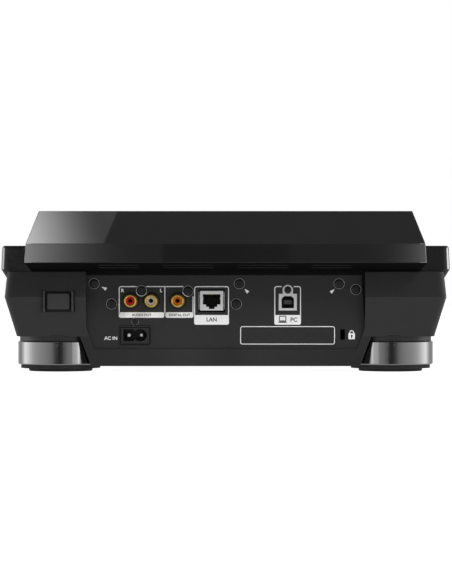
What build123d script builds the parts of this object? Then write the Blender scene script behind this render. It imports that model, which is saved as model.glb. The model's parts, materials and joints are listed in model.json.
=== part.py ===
"""A table-top media player: a faceted case on four feet, a jog wheel deck, a screen hood and rear sockets.

Millimetres, +Z up. The origin is on the ground, under the middle of the player's box.
The user stands at the front, which faces -Y. The socket panel faces +Y.
"""

import math
import os

from build123d import *

os.makedirs("parts", exist_ok=True)

# Clearances shared by all pieces
overrun = 2.0
key_gap = 0.4
seat_gap = 0.3
fit_gap = 0.1

# Plan of the deck: the jog wheel sets the width, with a column of controls on each side
jog_diameter = 200.0
jog_well_gap = 1.5
column_width = 51.5
deck_front_margin = 9.0
key_row_depth = 26.0
key_row_margin = 15.0
hood_overhang = 27.0

# Heights above the ground
keel_bottom = 4.0
shelf_height = 24.2
case_top = 68.2
waist_drop = 17.2
deck_skirt = 17.8
hood_rise = 23.6

# Deck shell
deck_wall = 3.0
deck_draft = 0.7
deck_corner = 5.0
deck_edge_round = 1.8
deck_lip_drop = 5.4
deck_lip_inset = 4.5
deck_belly = 1.8
deck_cavity_inset = 3.4
deck_lip_wall = 3.1
deck_boss_radius = 2.5

# Lower case
case_inset = 2.8
case_top_inset = 1.6
case_shelf_inset = 7.6
case_rear_step = 5.0
case_wall = 3.0
case_corner = 5.0
keel_inset = 43.5
keel_flare = 7.5
keel_wall = 4.5
keel_lip = 1.5

# Feet
foot_ring_radius = 29.6
foot_ring_bevel = 0.6
foot_collar_radius = 28.2
foot_collar_height = 3.4
foot_post_radius = 18.0
foot_edge = 0.1
foot_gap = 1.5
notch_gap = 0.6
notch_rise = 1.2
pad_radius = 27.4
pad_tread_radius = 22.0
pad_tread_height = 2.1
pad_height = 4.7
pad_bevel = 0.6

# Socket recess in the rear wall, and its panel
recess_inset = 47.7
recess_flare = 5.1
recess_knee = 29.6
recess_bottom = 15.5
recess_wall = 2.5
recess_depth = 9.0
panel_sheet = 1.5
panel_flange = 1.6
panel_tuck = 5.0

# Sockets
rca_radius = 4.15
rca_wall = 0.8
rca_reach = 9.0
rca_collar_radius = 5.2
rca_collar_reach = 0.8
rca_pin_hole_radius = 1.6
rca_insert_sink = 0.8
rca_block_depth = 13.0
rca_block_margin = 7.5
rca_block_crown = 7.0
lan_width = 15.8
lan_height = 13.3
lan_back = 6.0
lan_roof = 2.2
lan_cavity_width = 12.0
lan_cavity_height = 7.0
lan_latch_width = 7.6
lan_latch_height = 1.6
lan_hook_width = 3.8
lan_hook_height = 1.5
lan_cavity_depth = 14.0
lan_hole_margin = 1.2
usb_b_width = 12.4
usb_b_height = 11.4
usb_b_back = 5.0
usb_b_cavity_width = 8.4
usb_b_cavity_height = 8.2
usb_b_cavity_depth = 11.0
usb_b_corner_cut = 1.8
usb_b_reach = 0.6
usb_b_lug_radius = 3.6
usb_b_neck_width = 7.0
usb_b_lug_sheet = 0.6
inlet_rim_side = 2.15
inlet_rim_end = 2.3
inlet_back = 4.9
inlet_reach = 0.9
inlet_flange = 1.4
inlet_cavity_width = 16.2
inlet_cavity_height = 8.1
inlet_cavity_depth = 12.0
inlet_notch = 1.45
inlet_pin_pitch = 8.6
inlet_pin_radius = 1.2
inlet_pin_length = 9.0
tongue_width = 5.6
tongue_thickness = 3.0
tongue_length = 8.0
lock_slot_width = 3.3
lock_slot_height = 7.1
screw_head_radius = 2.75
small_head_radius = 2.45
screw_head_height = 0.9
screw_pocket_radius = 3.4
screw_pocket_depth = 1.0
screw_shank_radius = 1.4
screw_hole_radius = 1.6

# Power key in the rear wall, with a guard rib on each side
power_key_width = 15.6
power_key_height = 10.9
power_key_reach = 0.8
power_pad_margin = 3.0
power_pad_depth = 9.0
power_pocket_depth = 4.0
guard_rib_width = 1.4
guard_rib_height = 14.2
guard_rib_reach = 2.0
guard_rib_gap = 1.2
switch_post_radius = 2.0

# Screen hood
ear_width = 19.4
hood_top_inset = 6.6
hood_band_flare = 0.8
hood_belly_inset = 1.7
hood_fold_rise = 0.8
hood_belly_drop = 5.6
hood_rear_run = 28.0
hood_front_lip = 2.5
hood_wall = 2.5
hood_underside_gap = 0.3
hood_opening_margin = 6.0
vent_slot = 0.9

# Screen
lcd_width = 165.0
lcd_height = 100.0
lcd_depth = 7.0
lcd_rim = 2.5
glass_side_border = 5.5
glass_end_border = 3.0
glass_sheet = 1.1
screen_front_margin = 3.5
screen_gap = 2.0
hood_boss_radius = 2.5
usb_a_width = 13.1
usb_a_height = 5.7
usb_a_depth = 14.0
usb_a_wall = 0.5
usb_a_lip = 0.5

# Keys and their switches
key_rise = 1.8
key_travel = 1.2
key_flange = 1.2
key_flange_sheet = 1.5
key_corner = 1.4
key_chamfer = 0.5
key_margin = 0.8
transport_key = 36.0
transport_front_margin = 4.8
transport_gap = 4.2
search_key_width = 16.0
search_key_depth = 11.0
cue_key_width = 15.0
cue_key_depth = 10.0
loop_key = 14.0
small_key_width = 14.0
small_key_depth = 8.0
sync_key_width = 16.0
sync_key_depth = 10.0
tempo_key_width = 15.0
tempo_key_depth = 9.0
menu_key_width = 24.0
menu_key_depth = 6.0
menu_key_rise = 0.6
menu_key_margin = 4.1
back_key_width = 16.0
back_key_depth = 9.0
switch_size = 5.0
switch_height = 2.6
board_sheet = 1.6

# Direction lever
lever_width = 3.2
lever_length = 4.0
lever_pivot_rise = 2.9
lever_pin_radius = 1.2
lever_cheek = 1.6
lever_lift = 1.8
lever_cap_width = 8.0
lever_cap_length = 11.0
lever_cap_height = 5.0
lever_cap_taper = 0.5
lever_slot_length = 11.0

# Tempo fader
fader_travel = 100.0
fader_body_width = 14.0
fader_body_floor = 2.7
fader_body_margin = 9.0
fader_front_margin = 3.3
fader_stem_width = 3.0
fader_stem_length = 5.0
fader_stem_depth = 9.0
fader_cap_width = 24.0
fader_cap_length = 14.0
fader_cap_height = 9.0
fader_cap_saddle = 9.0
fader_cap_taper = 1.5
fader_line = 1.0

# Knobs
dial_radius = 7.5
dial_height = 12.0
dial_flutes = 10
dial_flute_radius = 1.0
dial_shaft_radius = 3.0
pot_size = 10.0
pot_height = 4.6
selector_radius = 13.0
selector_height = 10.0
selector_flutes = 16
selector_flute_radius = 1.1
selector_travel = 0.8
selector_roof = 3.0

# Jog wheel
jog_floor_drop = 7.5
jog_floor_sheet = 2.5
jog_flange_width = 3.5
jog_flange_sheet = 3.0
jog_pan_wall = 2.0
jog_hub_radius = 14.0
jog_hub_length = 18.0
jog_hub_rise = 2.3
jog_shaft_radius = 5.0
jog_shaft_tail = 4.0
code_wheel_radius = 25.0
code_wheel_sheet = 1.5
jog_web = 3.0
jog_rise = 13.0
jog_rim_width = 16.0
jog_skirt_rise = 1.0
jog_crown_width = 9.0
jog_crown_drop = 1.2
jog_ledge_width = 6.0
jog_dimples = 30
jog_dimple_radius = 7.0
jog_dimple_depth = 1.6
jog_plate_sheet = 2.5
jog_plate_gap = 0.5
jog_plate_sink = 1.0
jog_press = 0.5
jog_plate_dish = 0.8
jog_dish_radius = 30.0

# Boards inside
standoff_height = 6.0
standoff_radius = 3.0
main_board_width = 140.0
main_board_depth = 150.0
power_board_width = 140.0
power_board_depth = 90.0
board_part_height = 9.0
heat_sink_height = 12.0
power_board_margin = 42.0
jack_board_depth = 38.0
jack_board_margin = 8.0

# Places, as shares of the sizes that they follow
side_shares = {"left": -1, "right": 1}
# key: side of the deck, steps outward from its column's middle, place from the long controls to the key row
deck_key_shares = {
    "search_back_button": ("left", 0.5, 0.105),
    "search_forward_button": ("left", -0.5, 0.105),
    "track_back_button": ("left", 0.5, 0.255),
    "track_forward_button": ("left", -0.5, 0.255),
    "hot_cue_button_a": ("left", 0.5, 0.40),
    "hot_cue_button_b": ("left", 0.5, 0.53),
    "hot_cue_button_c": ("left", 0.5, 0.66),
    "hot_cue_button_d": ("left", 0.5, 0.79),
    "loop_in_button": ("left", 0.5, 1),
    "loop_out_button": ("left", -0.6, 1),
    "loop_exit_button": ("left", -1.7, 1),
    "delete_button": ("right", -1.7, 1),
    "memory_button": ("right", -0.6, 1),
    "sync_button": ("right", -0.5, 0.73),
    "master_button": ("right", -0.5, 0.48),
    "tempo_range_button": ("right", 0.5, 0.42),
    "master_tempo_button": ("right", 0.5, 0.17),
}
dial_shares = {"brake_knob": ("right", 0.5, 1), "jog_feel_knob": ("right", 0.5, 0.73)}
lever_shares = ("left", -0.5, 0.52)
fader_step_share = 0.14
deck_boss_share = 0.89
# place across the hood's half width
menu_key_shares = {"browse_button": -0.52, "list_button": -0.173, "info_button": 0.173, "menu_button": 0.52}
# place up the hood's sloping face
back_key_share = 0.62
selector_share = 0.30
usb_a_share = 0.45
hood_boss_shares = (0.22, 0.75)
# place across the socket recess's half width, place up the recess
rca_shares = (-0.681, -0.533, -0.343)
jack_line_share = 0.627
lan_share = -0.100
usb_b_share = 0.447
inlet_shares = (-0.650, 0.182)
lock_slot_shares = (0.841, 0.190)
panel_screw_shares = (
    (-0.945, 0.848),
    (-0.819, 0.586),
    (-0.604, 0.757),
    (-0.270, 0.753),
    (0.099, 0.848),
    (0.077, 0.586),
    (0.816, 0.848),
    (0.936, 0.772),
)
inlet_screw_share = 0.357
lug_screw_share = 0.765
power_key_shares = (0.755, 0.945)
vent_shares = ((0.06, 0.315), (0.437, 0.636))
vent_row_shares = (0.28, 0.42, 0.56, 0.70)
plate_screw_shares = (-0.24, 0, 0.24)
main_standoff_shares = [(sx, sy) for sx in (-0.46, 0.46) for sy in (-0.45, 0.45)]

# Sizes that follow from those above
well_radius = jog_diameter / 2 + jog_well_gap
deck_half = well_radius + column_width
control_depth = deck_front_margin + 2 * well_radius + key_row_depth
tongue_inset = deck_lip_inset + deck_lip_wall + key_gap
column_step = search_key_width + 2 * key_flange + 2 * key_margin
glass_width = lcd_width + 2 * glass_side_border
glass_height = lcd_height + 2 * glass_end_border
menu_key_line = screen_front_margin + glass_height + screen_gap + menu_key_depth / 2
face_length = menu_key_line + menu_key_depth / 2 + menu_key_margin
face_tilt = math.asin((hood_rise - hood_front_lip) / face_length)
hood_base_depth = face_length * math.cos(face_tilt) + hood_rear_run - hood_overhang
total_depth = control_depth + hood_base_depth + hood_overhang
front_y = -total_depth / 2
rear_y = total_depth / 2
deck_rear_y = rear_y - hood_overhang
jog_y = front_y + deck_front_margin + well_radius
hood_front_y = front_y + control_depth
key_row_y = hood_front_y - key_row_margin
column_x = well_radius + column_width / 2
deck_inner_y = front_y + deck_cavity_inset
play_y = deck_inner_y + transport_front_margin + key_flange + transport_key / 2
cue_y = play_y + transport_key + 2 * key_flange + transport_gap
reset_y = deck_inner_y + transport_front_margin + key_flange + tempo_key_depth / 2
fader_slot_width = fader_stem_width + 2 * key_gap
fader_slot_length = fader_travel + fader_stem_length + 2 * key_gap
fader_body_length = fader_slot_length + 2 * fader_body_margin
fader_body_height = fader_stem_depth + seat_gap + fader_body_floor
fader_place = (
    column_x + fader_step_share * column_step,
    deck_inner_y + key_gap + fader_front_margin + fader_body_length / 2,
)
# where the keys behind the transport keys, and those behind the fader, start
side_starts = {
    "left": cue_y + transport_key / 2 + key_flange,
    "right": fader_place[1] + fader_body_length / 2,
}
deck_top = case_top + deck_skirt
deck_under = deck_top - deck_wall
waist_height = case_top - waist_drop
ridge_height = deck_top + hood_rise
lip_bottom = case_top - deck_lip_drop
waist_half = deck_half - case_inset
waist_front_y = front_y + case_inset
waist_rear_y = deck_rear_y + case_rear_step
shelf_half = waist_half - case_shelf_inset
keel_top_half = shelf_half - keel_inset
keel_bottom_half = keel_top_half - keel_flare
recess_top_half = shelf_half - recess_inset
recess_bottom_half = recess_top_half - recess_flare
shelf_front_y = waist_front_y + case_shelf_inset
shelf_rear_y = waist_rear_y - case_shelf_inset
tongue_half = deck_half - tongue_inset
tongue_front_y = front_y + tongue_inset
foot_inset = foot_collar_radius + foot_edge
collar_bottom = shelf_height - foot_collar_height
panel_y = waist_rear_y - recess_depth
plate_top = keel_bottom + panel_sheet
key_drop = seat_gap + key_flange_sheet + key_travel + seat_gap + switch_height
hood_half = deck_half - ear_width
fold_height = deck_top + hood_fold_rise
belly_height = case_top + hood_underside_gap + hood_belly_drop
opening_half = hood_half - hood_top_inset - hood_wall - key_gap
side_strip_x = (glass_width / 2 + hood_half - hood_top_inset) / 2
ridge_y = rear_y - hood_rear_run
inlet_width = inlet_cavity_width + 2 * inlet_rim_side
inlet_height = inlet_cavity_height + 2 * inlet_rim_end
jack_board_top = recess_bottom + jack_line_share * (case_top - recess_bottom) - lan_height / 2

# The rear face as someone behind the player sees it: local x to the right, local y up, z out of the panel
rear_plane = Plane(origin=(0, panel_y, 0), x_dir=(-1, 0, 0), z_dir=(0, 1, 0))
# The hood's sloping face: local y up the slope from its front lip, z out of the face
face_plane = Plane(
    origin=(0, hood_front_y, deck_top + hood_front_lip),
    x_dir=(1, 0, 0),
    z_dir=(0, -math.sin(face_tilt), math.cos(face_tilt)),
)
deck_plane = Plane.XY.offset(deck_top)


def save(piece, name):
    """Labels a finished piece and writes it under its own name."""
    piece.part.label = name
    export_step(piece.part, f"parts/{name}.step")


def plan(half_width, front, rear, corner, mode=Mode.ADD):
    """Draws a rounded rectangle from front to rear, centred on X."""
    with Locations((0, (front + rear) / 2)):
        RectangleRounded(2 * half_width, rear - front, corner, mode=mode)


def case_plan(inset):
    """Draws the case's outline at a level that lies inset from the waist."""
    plan(waist_half - inset, waist_front_y + inset, waist_rear_y - inset, case_corner)


def foot_places():
    """Centres of the four feet."""
    x = shelf_half - foot_inset
    runs = (shelf_front_y + foot_inset, shelf_rear_y - foot_inset)
    return [(side * x, y) for side in (-1, 1) for y in runs]


def keel_profile(inset, bottom, top):
    """Draws the keel's tapered cross-section, inset from its walls."""
    slope = (keel_top_half - keel_bottom_half) / (shelf_height - keel_bottom)
    low = keel_bottom_half - inset + slope * (bottom - keel_bottom)
    high = keel_bottom_half - inset + slope * (top - keel_bottom)
    Polygon((-low, bottom), (low, bottom), (high, top), (-high, top), align=None)


def recess_profile(grow, top):
    """Draws the socket recess, seen from the rear, grown by a wall."""
    side = recess_top_half + grow
    foot = recess_bottom_half + grow
    low = recess_bottom - grow
    half = [(foot, low), (side, recess_knee), (side, top)]
    Polygon(*half, *[(-x, z) for x, z in reversed(half)], align=None)


def deck_place(shares):
    """A place on the deck: its side, its steps across the column and its share of the way to the key row."""
    side, across, along = shares
    start = side_starts[side]
    return (side_shares[side] * (column_x + across * column_step), start + along * (key_row_y - start))


def strip_place(side, share):
    """A place in the strip on one side of the screen, up the hood's sloping face."""
    return (side_shares[side] * side_strip_x, share * face_length)


def rear_place(across, up):
    """A place on the socket panel."""
    return (across * recess_top_half, recess_bottom + up * (case_top - recess_bottom))


def plane_at(plane, place):
    """The same plane with its origin moved to a place on it."""
    return Plane(plane.location * Location((*place, 0)))


def key_outline(size, grow=0, mode=Mode.ADD):
    """Draws a key's outline, a circle where it has no depth, grown all round."""
    width, depth = size
    if depth:
        RectangleRounded(width + 2 * grow, depth + 2 * grow, key_corner + grow, mode=mode)
    else:
        Circle(width / 2 + grow, mode=mode)


def flange_outline(size):
    """Draws the flange that holds a key behind its wall."""
    width, depth = size
    if depth:
        Rectangle(width + 2 * key_flange, depth + 2 * key_flange)
    else:
        Circle(width / 2 + key_flange)


def make_key(name, plane, wall, size, rise):
    """A key that stands through a wall whose outer face is the plane, with a flange behind the wall."""
    with BuildPart() as key:
        with BuildSketch(plane.offset(-wall - seat_gap)):
            key_outline(size)
        extrude(amount=wall + seat_gap + rise)
        chamfer(key.faces().sort_by(Axis(plane.origin, plane.z_dir))[-1].edges(), key_chamfer)
        with BuildSketch(plane.offset(-wall - seat_gap - key_flange_sheet)):
            flange_outline(size)
        extrude(amount=key_flange_sheet)
    save(key, name)


def knob_outline(radius, flutes, flute_radius):
    """Draws a fluted knob's outline."""
    Circle(radius)
    with PolarLocations(radius, flutes):
        Circle(flute_radius, mode=Mode.SUBTRACT)


key_sizes = {
    "search": (search_key_width, search_key_depth),
    "track": (search_key_width, search_key_depth),
    "hot": (cue_key_width, cue_key_depth),
    "loop": (loop_key, 0),
    "delete": (small_key_width, small_key_depth),
    "memory": (small_key_width, small_key_depth),
    "sync": (sync_key_width, sync_key_depth),
    "master": (sync_key_width, sync_key_depth),
    "tempo": (tempo_key_width, tempo_key_depth),
}
deck_keys = {
    "play_button": ((-column_x, play_y), (transport_key, 0)),
    "cue_button": ((-column_x, cue_y), (transport_key, 0)),
    "tempo_reset_button": ((column_x - column_step, reset_y), (tempo_key_width, tempo_key_depth)),
}
for name, shares in deck_key_shares.items():
    deck_keys[name] = (deck_place(shares), key_sizes[name.split("_")[0]])
menu_keys = {}
for name, share in menu_key_shares.items():
    menu_keys[name] = ((share * hood_half, menu_key_line), (menu_key_width, menu_key_depth))
menu_keys["back_button"] = (strip_place("right", back_key_share), (back_key_width, back_key_depth))
dials = {name: deck_place(shares) for name, shares in dial_shares.items()}
lever_place = deck_place(lever_shares)
rca_places = [rear_place(share, jack_line_share) for share in rca_shares]
lan_place = rear_place(lan_share, jack_line_share)
usb_b_place = (usb_b_share * recess_top_half, jack_board_top + usb_b_height / 2)
inlet_place = rear_place(*inlet_shares)
inlet_screw_place = rear_place(inlet_shares[0], inlet_screw_share)
lug_screw_place = rear_place(usb_b_share, lug_screw_share)
panel_screw_places = [rear_place(*shares) for shares in panel_screw_shares]

# Lower case: two hollows come first, then the shell that they empty
pocket_radius = foot_ring_radius + foot_gap
hollow_floor = shelf_height + case_wall
rabbet_floor = lip_bottom - seat_gap
hollow_shoulder = rabbet_floor - case_wall
groove_y = panel_y - panel_sheet - seat_gap
keel_rear_y = shelf_rear_y - keel_wall
shoulder_inset = case_top_inset * (hollow_shoulder - waist_height) / (case_top - waist_height)
keel_length = shelf_rear_y - shelf_front_y
power_x = power_key_shares[0] * waist_half
power_z = power_key_shares[1] * waist_height
power_plane = Plane(origin=(power_x, waist_rear_y, power_z), x_dir=(-1, 0, 0), z_dir=(0, 1, 0))
power_size = (power_key_width, power_key_height)
power_board_y = power_pad_depth + key_drop
keel_middle_y = (shelf_front_y + shelf_rear_y) / 2
plate_screw_x = keel_bottom_half - (keel_lip + keel_wall) / 2
plate_screw_runs = [keel_middle_y + share * keel_length for share in plate_screw_shares]
plate_screw_places = [(side * plate_screw_x, y) for side in (-1, 1) for y in plate_screw_runs]

with BuildPart() as case_hollow:
    with BuildSketch(Plane.XY.offset(hollow_floor)):
        case_plan(case_shelf_inset + case_wall)
    with BuildSketch(Plane.XY.offset(waist_height)):
        case_plan(case_wall)
    with BuildSketch(Plane.XY.offset(hollow_shoulder)):
        case_plan(shoulder_inset + case_wall)
    loft(ruled=True)
    with BuildSketch(Plane.XY.offset(hollow_shoulder)):
        plan(tongue_half - case_wall, tongue_front_y + case_wall, groove_y, case_corner)
    extrude(amount=case_top + overrun - hollow_shoulder)
    with BuildSketch(rear_plane):
        recess_profile(recess_wall, case_top + 2 * overrun)
    extrude(amount=recess_depth + overrun, mode=Mode.SUBTRACT)

with BuildPart() as keel_hollow:
    with BuildSketch(Plane.XZ.offset(-keel_rear_y)):
        keel_profile(keel_wall, plate_top, hollow_floor + overrun)
    extrude(amount=keel_length - 2 * keel_wall)
    with BuildSketch(Plane.XZ.offset(-(shelf_rear_y - keel_lip))):
        keel_profile(keel_lip, keel_bottom - overrun, plate_top)
    extrude(amount=keel_length - 2 * keel_lip)
    with BuildSketch(Plane.XY.offset(keel_bottom - overrun)):
        with Locations(*foot_places()):
            Circle(pocket_radius + case_wall)
    extrude(amount=hollow_floor + overrun - keel_bottom, mode=Mode.SUBTRACT)

with BuildPart() as lower_case:
    with BuildSketch(Plane.XY.offset(shelf_height)):
        case_plan(case_shelf_inset)
    with BuildSketch(Plane.XY.offset(waist_height)):
        case_plan(0)
    with BuildSketch(Plane.XY.offset(case_top)):
        case_plan(case_top_inset)
    loft(ruled=True)
    with BuildSketch(Plane.XZ.offset(-shelf_rear_y)):
        keel_profile(0, keel_bottom, shelf_height)
    extrude(amount=keel_length)
    with BuildSketch(Plane.XY.offset(keel_bottom - overrun)):
        with Locations(*foot_places()):
            Circle(pocket_radius)
    extrude(amount=shelf_height + overrun - keel_bottom, mode=Mode.SUBTRACT)
    with BuildSketch(Plane.XY.offset(shelf_height)):
        with Locations(*foot_places()):
            Circle(foot_collar_radius + notch_gap)
    extrude(amount=notch_rise, mode=Mode.SUBTRACT)
    add(case_hollow.part, mode=Mode.SUBTRACT)
    add(keel_hollow.part, mode=Mode.SUBTRACT)
    with BuildSketch(rear_plane.offset(recess_depth + overrun)):
        recess_profile(0, case_top + overrun)
    extrude(amount=-(waist_rear_y + overrun - keel_rear_y + seat_gap), mode=Mode.SUBTRACT)
    # the groove that the socket panel slides down into
    with BuildSketch(rear_plane):
        recess_profile(panel_flange + fit_gap, case_top + overrun)
    extrude(amount=groove_y - panel_y, mode=Mode.SUBTRACT)
    # the step that the deck's lip closes over, on the front and both sides
    with BuildSketch(Plane.XY.offset(rabbet_floor)):
        with Locations((0, (front_y + deck_rear_y + seat_gap) / 2)):
            Rectangle(2 * deck_half, deck_rear_y + seat_gap - front_y)
        plan(tongue_half, tongue_front_y, rear_y, case_corner, Mode.SUBTRACT)
    extrude(amount=case_top + overrun - rabbet_floor, mode=Mode.SUBTRACT)
    # collars and posts that carry the feet
    with BuildSketch(Plane.XY.offset(collar_bottom)):
        with Locations(*foot_places()):
            Circle(foot_collar_radius)
    extrude(amount=foot_collar_height + notch_rise)
    with BuildSketch(Plane.XY.offset(pad_height)):
        with Locations(*foot_places()):
            Circle(foot_post_radius)
    extrude(amount=collar_bottom - pad_height)
    # the power key's pocket in the rear wall: its floor, the board's posts, guard ribs and the key's hole
    with BuildSketch(power_plane.offset(-power_pad_depth)):
        Rectangle(power_key_width + 4 * power_pad_margin, power_key_height + 2 * power_pad_margin)
    extrude(amount=power_pad_depth - power_pocket_depth)
    with BuildSketch(power_plane.offset(-power_board_y)):
        with GridLocations(power_key_width + 3 * power_pad_margin, 0, 2, 1):
            Circle(switch_post_radius)
    extrude(amount=power_board_y - power_pad_depth)
    with BuildSketch(power_plane.offset(-power_pocket_depth)):
        Rectangle(power_key_width + 2 * guard_rib_gap, guard_rib_height)
    extrude(amount=power_pocket_depth + overrun, mode=Mode.SUBTRACT)
    with BuildSketch(power_plane.offset(-power_pocket_depth - seat_gap)):
        with GridLocations(power_key_width + 2 * guard_rib_gap + guard_rib_width, 0, 2, 1):
            RectangleRounded(guard_rib_width, guard_rib_height, guard_rib_width / 3)
    extrude(amount=power_pocket_depth + seat_gap + guard_rib_reach)
    with BuildSketch(power_plane.offset(-power_pad_depth)):
        key_outline(power_size, key_gap)
    extrude(amount=power_pad_depth + overrun, mode=Mode.SUBTRACT)
    with BuildSketch(Plane.XY.offset(plate_top)):
        with Locations(*plate_screw_places):
            Circle(screw_hole_radius)
    extrude(amount=standoff_height, mode=Mode.SUBTRACT)
save(lower_case, "lower_case")

# Feet: turned metal rings round the case's posts, on stepped rubber pads
with BuildPart() as foot_rings:
    with BuildSketch(Plane.XY.offset(pad_height)):
        with Locations(*foot_places()):
            Circle(foot_ring_radius)
    extrude(amount=collar_bottom - pad_height)
    chamfer(foot_rings.edges().filter_by(GeomType.CIRCLE), foot_ring_bevel)
    with BuildSketch(Plane.XY.offset(pad_height)):
        with Locations(*foot_places()):
            Circle(foot_post_radius + seat_gap)
    extrude(amount=collar_bottom - pad_height, mode=Mode.SUBTRACT)
save(foot_rings, "foot_rings")

with BuildPart() as foot_pads:
    with BuildSketch():
        with Locations(*foot_places()):
            Circle(pad_tread_radius)
    extrude(amount=pad_tread_height)
    with BuildSketch(Plane.XY.offset(pad_tread_height)):
        with Locations(*foot_places()):
            Circle(pad_radius)
    extrude(amount=pad_height - pad_tread_height)
    chamfer(foot_pads.edges().filter_by(GeomType.CIRCLE).group_by(Axis.Z)[0], pad_bevel)
save(foot_pads, "foot_pads")

# Deck: a moulded tray turned over the case, with all the holes for its controls
deck_boss_x = deck_half - deck_cavity_inset - deck_boss_radius * 3 / 2
deck_boss_runs = ((play_y + cue_y) / 2, deck_place(("left", 0, deck_boss_share))[1])
with BuildPart() as deck_panel:
    with BuildSketch(Plane.XY.offset(lip_bottom)):
        plan(deck_half - deck_lip_inset, front_y + deck_lip_inset, deck_rear_y, deck_corner)
    with BuildSketch(Plane.XY.offset(case_top + deck_belly)):
        plan(deck_half, front_y, deck_rear_y, deck_corner)
    with BuildSketch(deck_plane):
        plan(deck_half - deck_draft, front_y + deck_draft, deck_rear_y, deck_corner)
    loft(ruled=True)
    fillet(deck_panel.faces().sort_by(Axis.Z)[-1].edges(), deck_edge_round)
    with BuildSketch(Plane.XY.offset(case_top + seat_gap)):
        plan(deck_half - deck_cavity_inset, front_y + deck_cavity_inset, deck_rear_y - deck_wall, deck_corner)
    extrude(amount=deck_under - case_top - seat_gap, mode=Mode.SUBTRACT)
    with BuildSketch(Plane.XY.offset(lip_bottom - overrun)):
        plan(tongue_half + key_gap, tongue_front_y - key_gap, rear_y, case_corner + key_gap)
    extrude(amount=case_top - lip_bottom + overrun, mode=Mode.SUBTRACT)
    with BuildSketch(Plane.XY.offset(case_top)):
        plan(tongue_half + key_gap, tongue_front_y - key_gap, deck_rear_y - deck_wall, case_corner + key_gap)
    extrude(amount=seat_gap, mode=Mode.SUBTRACT)
    with BuildSketch(Plane.XY.offset(deck_under)):
        with Locations((0, jog_y)):
            Circle(well_radius)
        for place, size in deck_keys.values():
            with Locations(place):
                key_outline(size, key_gap)
        with Locations(*dials.values()):
            Circle(dial_shaft_radius + key_gap)
        with Locations(lever_place):
            Rectangle(lever_width + 2 * key_gap, lever_slot_length)
        with Locations(fader_place):
            Rectangle(fader_slot_width, fader_slot_length)
        with Locations((0, hood_front_y + hood_base_depth / 2)):
            Rectangle(2 * opening_half, hood_base_depth - 2 * hood_opening_margin)
    extrude(amount=deck_wall + overrun, mode=Mode.SUBTRACT)
    with BuildSketch(Plane.XY.offset(deck_under - key_drop)):
        with Locations(*[(side * deck_boss_x, y) for side in (-1, 1) for y in deck_boss_runs]):
            Circle(deck_boss_radius)
    extrude(amount=key_drop)
save(deck_panel, "deck_panel")

# Deck controls
for name, (place, size) in deck_keys.items():
    make_key(name, Plane(origin=(*place, deck_top)), deck_wall, size, key_rise)

board_top = deck_under - key_drop
for name, place in dials.items():
    with BuildPart() as dial:
        with BuildSketch(Plane(origin=(*place, deck_top + key_gap))):
            knob_outline(dial_radius, dial_flutes, dial_flute_radius)
        extrude(amount=dial_height)
        chamfer(dial.faces().sort_by(Axis.Z)[-1].edges(), key_chamfer)
        with BuildSketch(Plane(origin=(*place, board_top + seat_gap))):
            Circle(dial_shaft_radius)
        extrude(amount=deck_top + key_gap - board_top - seat_gap)
    save(dial, name)

lever_pivot = (*lever_place, board_top + lever_pivot_rise)
lever_plane = Plane(origin=lever_pivot)
lever_foot = deck_top + lever_lift - lever_pivot[2]
with BuildPart() as direction_lever:
    with BuildSketch(lever_plane.offset(-lever_pin_radius)):
        Rectangle(lever_width, lever_length)
    extrude(amount=lever_foot + lever_pin_radius)
    with BuildSketch(lever_plane.offset(lever_foot)):
        Rectangle(lever_cap_width, lever_cap_length)
    with BuildSketch(lever_plane.offset(lever_foot + lever_cap_height)):
        Rectangle(lever_cap_width - 2 * lever_cap_taper, lever_cap_length - 2 * lever_cap_taper)
    loft(ruled=True)
    with BuildSketch(Plane(origin=lever_pivot, x_dir=(0, 1, 0), z_dir=(1, 0, 0))):
        Circle(lever_pin_radius)
    extrude(amount=lever_width / 2 + key_gap + lever_cheek, both=True)
save(direction_lever, "direction_lever")

with BuildPart() as fader_body:
    with BuildSketch(Plane(origin=(*fader_place, deck_under - fader_body_height))):
        Rectangle(fader_body_width, fader_body_length)
    extrude(amount=fader_body_height)
    with BuildSketch(Plane(origin=(*fader_place, deck_under))):
        Rectangle(fader_slot_width, fader_slot_length)
    extrude(amount=-(fader_stem_depth + seat_gap), mode=Mode.SUBTRACT)
save(fader_body, "fader_body")

with BuildPart() as fader_cap:
    with BuildSketch(Plane(origin=(*fader_place, deck_under - fader_stem_depth))):
        Rectangle(fader_stem_width, fader_stem_length)
    extrude(amount=fader_stem_depth + deck_wall + fader_cap_height / 2)
    with BuildSketch(Plane(origin=(*fader_place, deck_top + seat_gap))):
        Rectangle(fader_cap_width, fader_cap_length)
    with BuildSketch(Plane(origin=(*fader_place, deck_top + seat_gap + fader_cap_height))):
        Rectangle(fader_cap_width - 2 * fader_cap_taper, fader_cap_length - 2 * fader_cap_taper)
    loft(ruled=True)
    saddle_height = deck_top + fader_cap_height + fader_cap_saddle - fader_cap_height / 3
    with BuildSketch(Plane(origin=(*fader_place, saddle_height), x_dir=(0, 1, 0), z_dir=(1, 0, 0))):
        Circle(fader_cap_saddle)
    extrude(amount=fader_cap_width, both=True, mode=Mode.SUBTRACT)
    saddle_floor = saddle_height - fader_cap_saddle
    with BuildSketch(Plane(origin=(*fader_place, saddle_floor))):
        Rectangle(fader_cap_width - 2 * fader_cap_taper - 2 * fader_line, fader_line)
    extrude(amount=fader_line)
save(fader_cap, "fader_cap")

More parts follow.
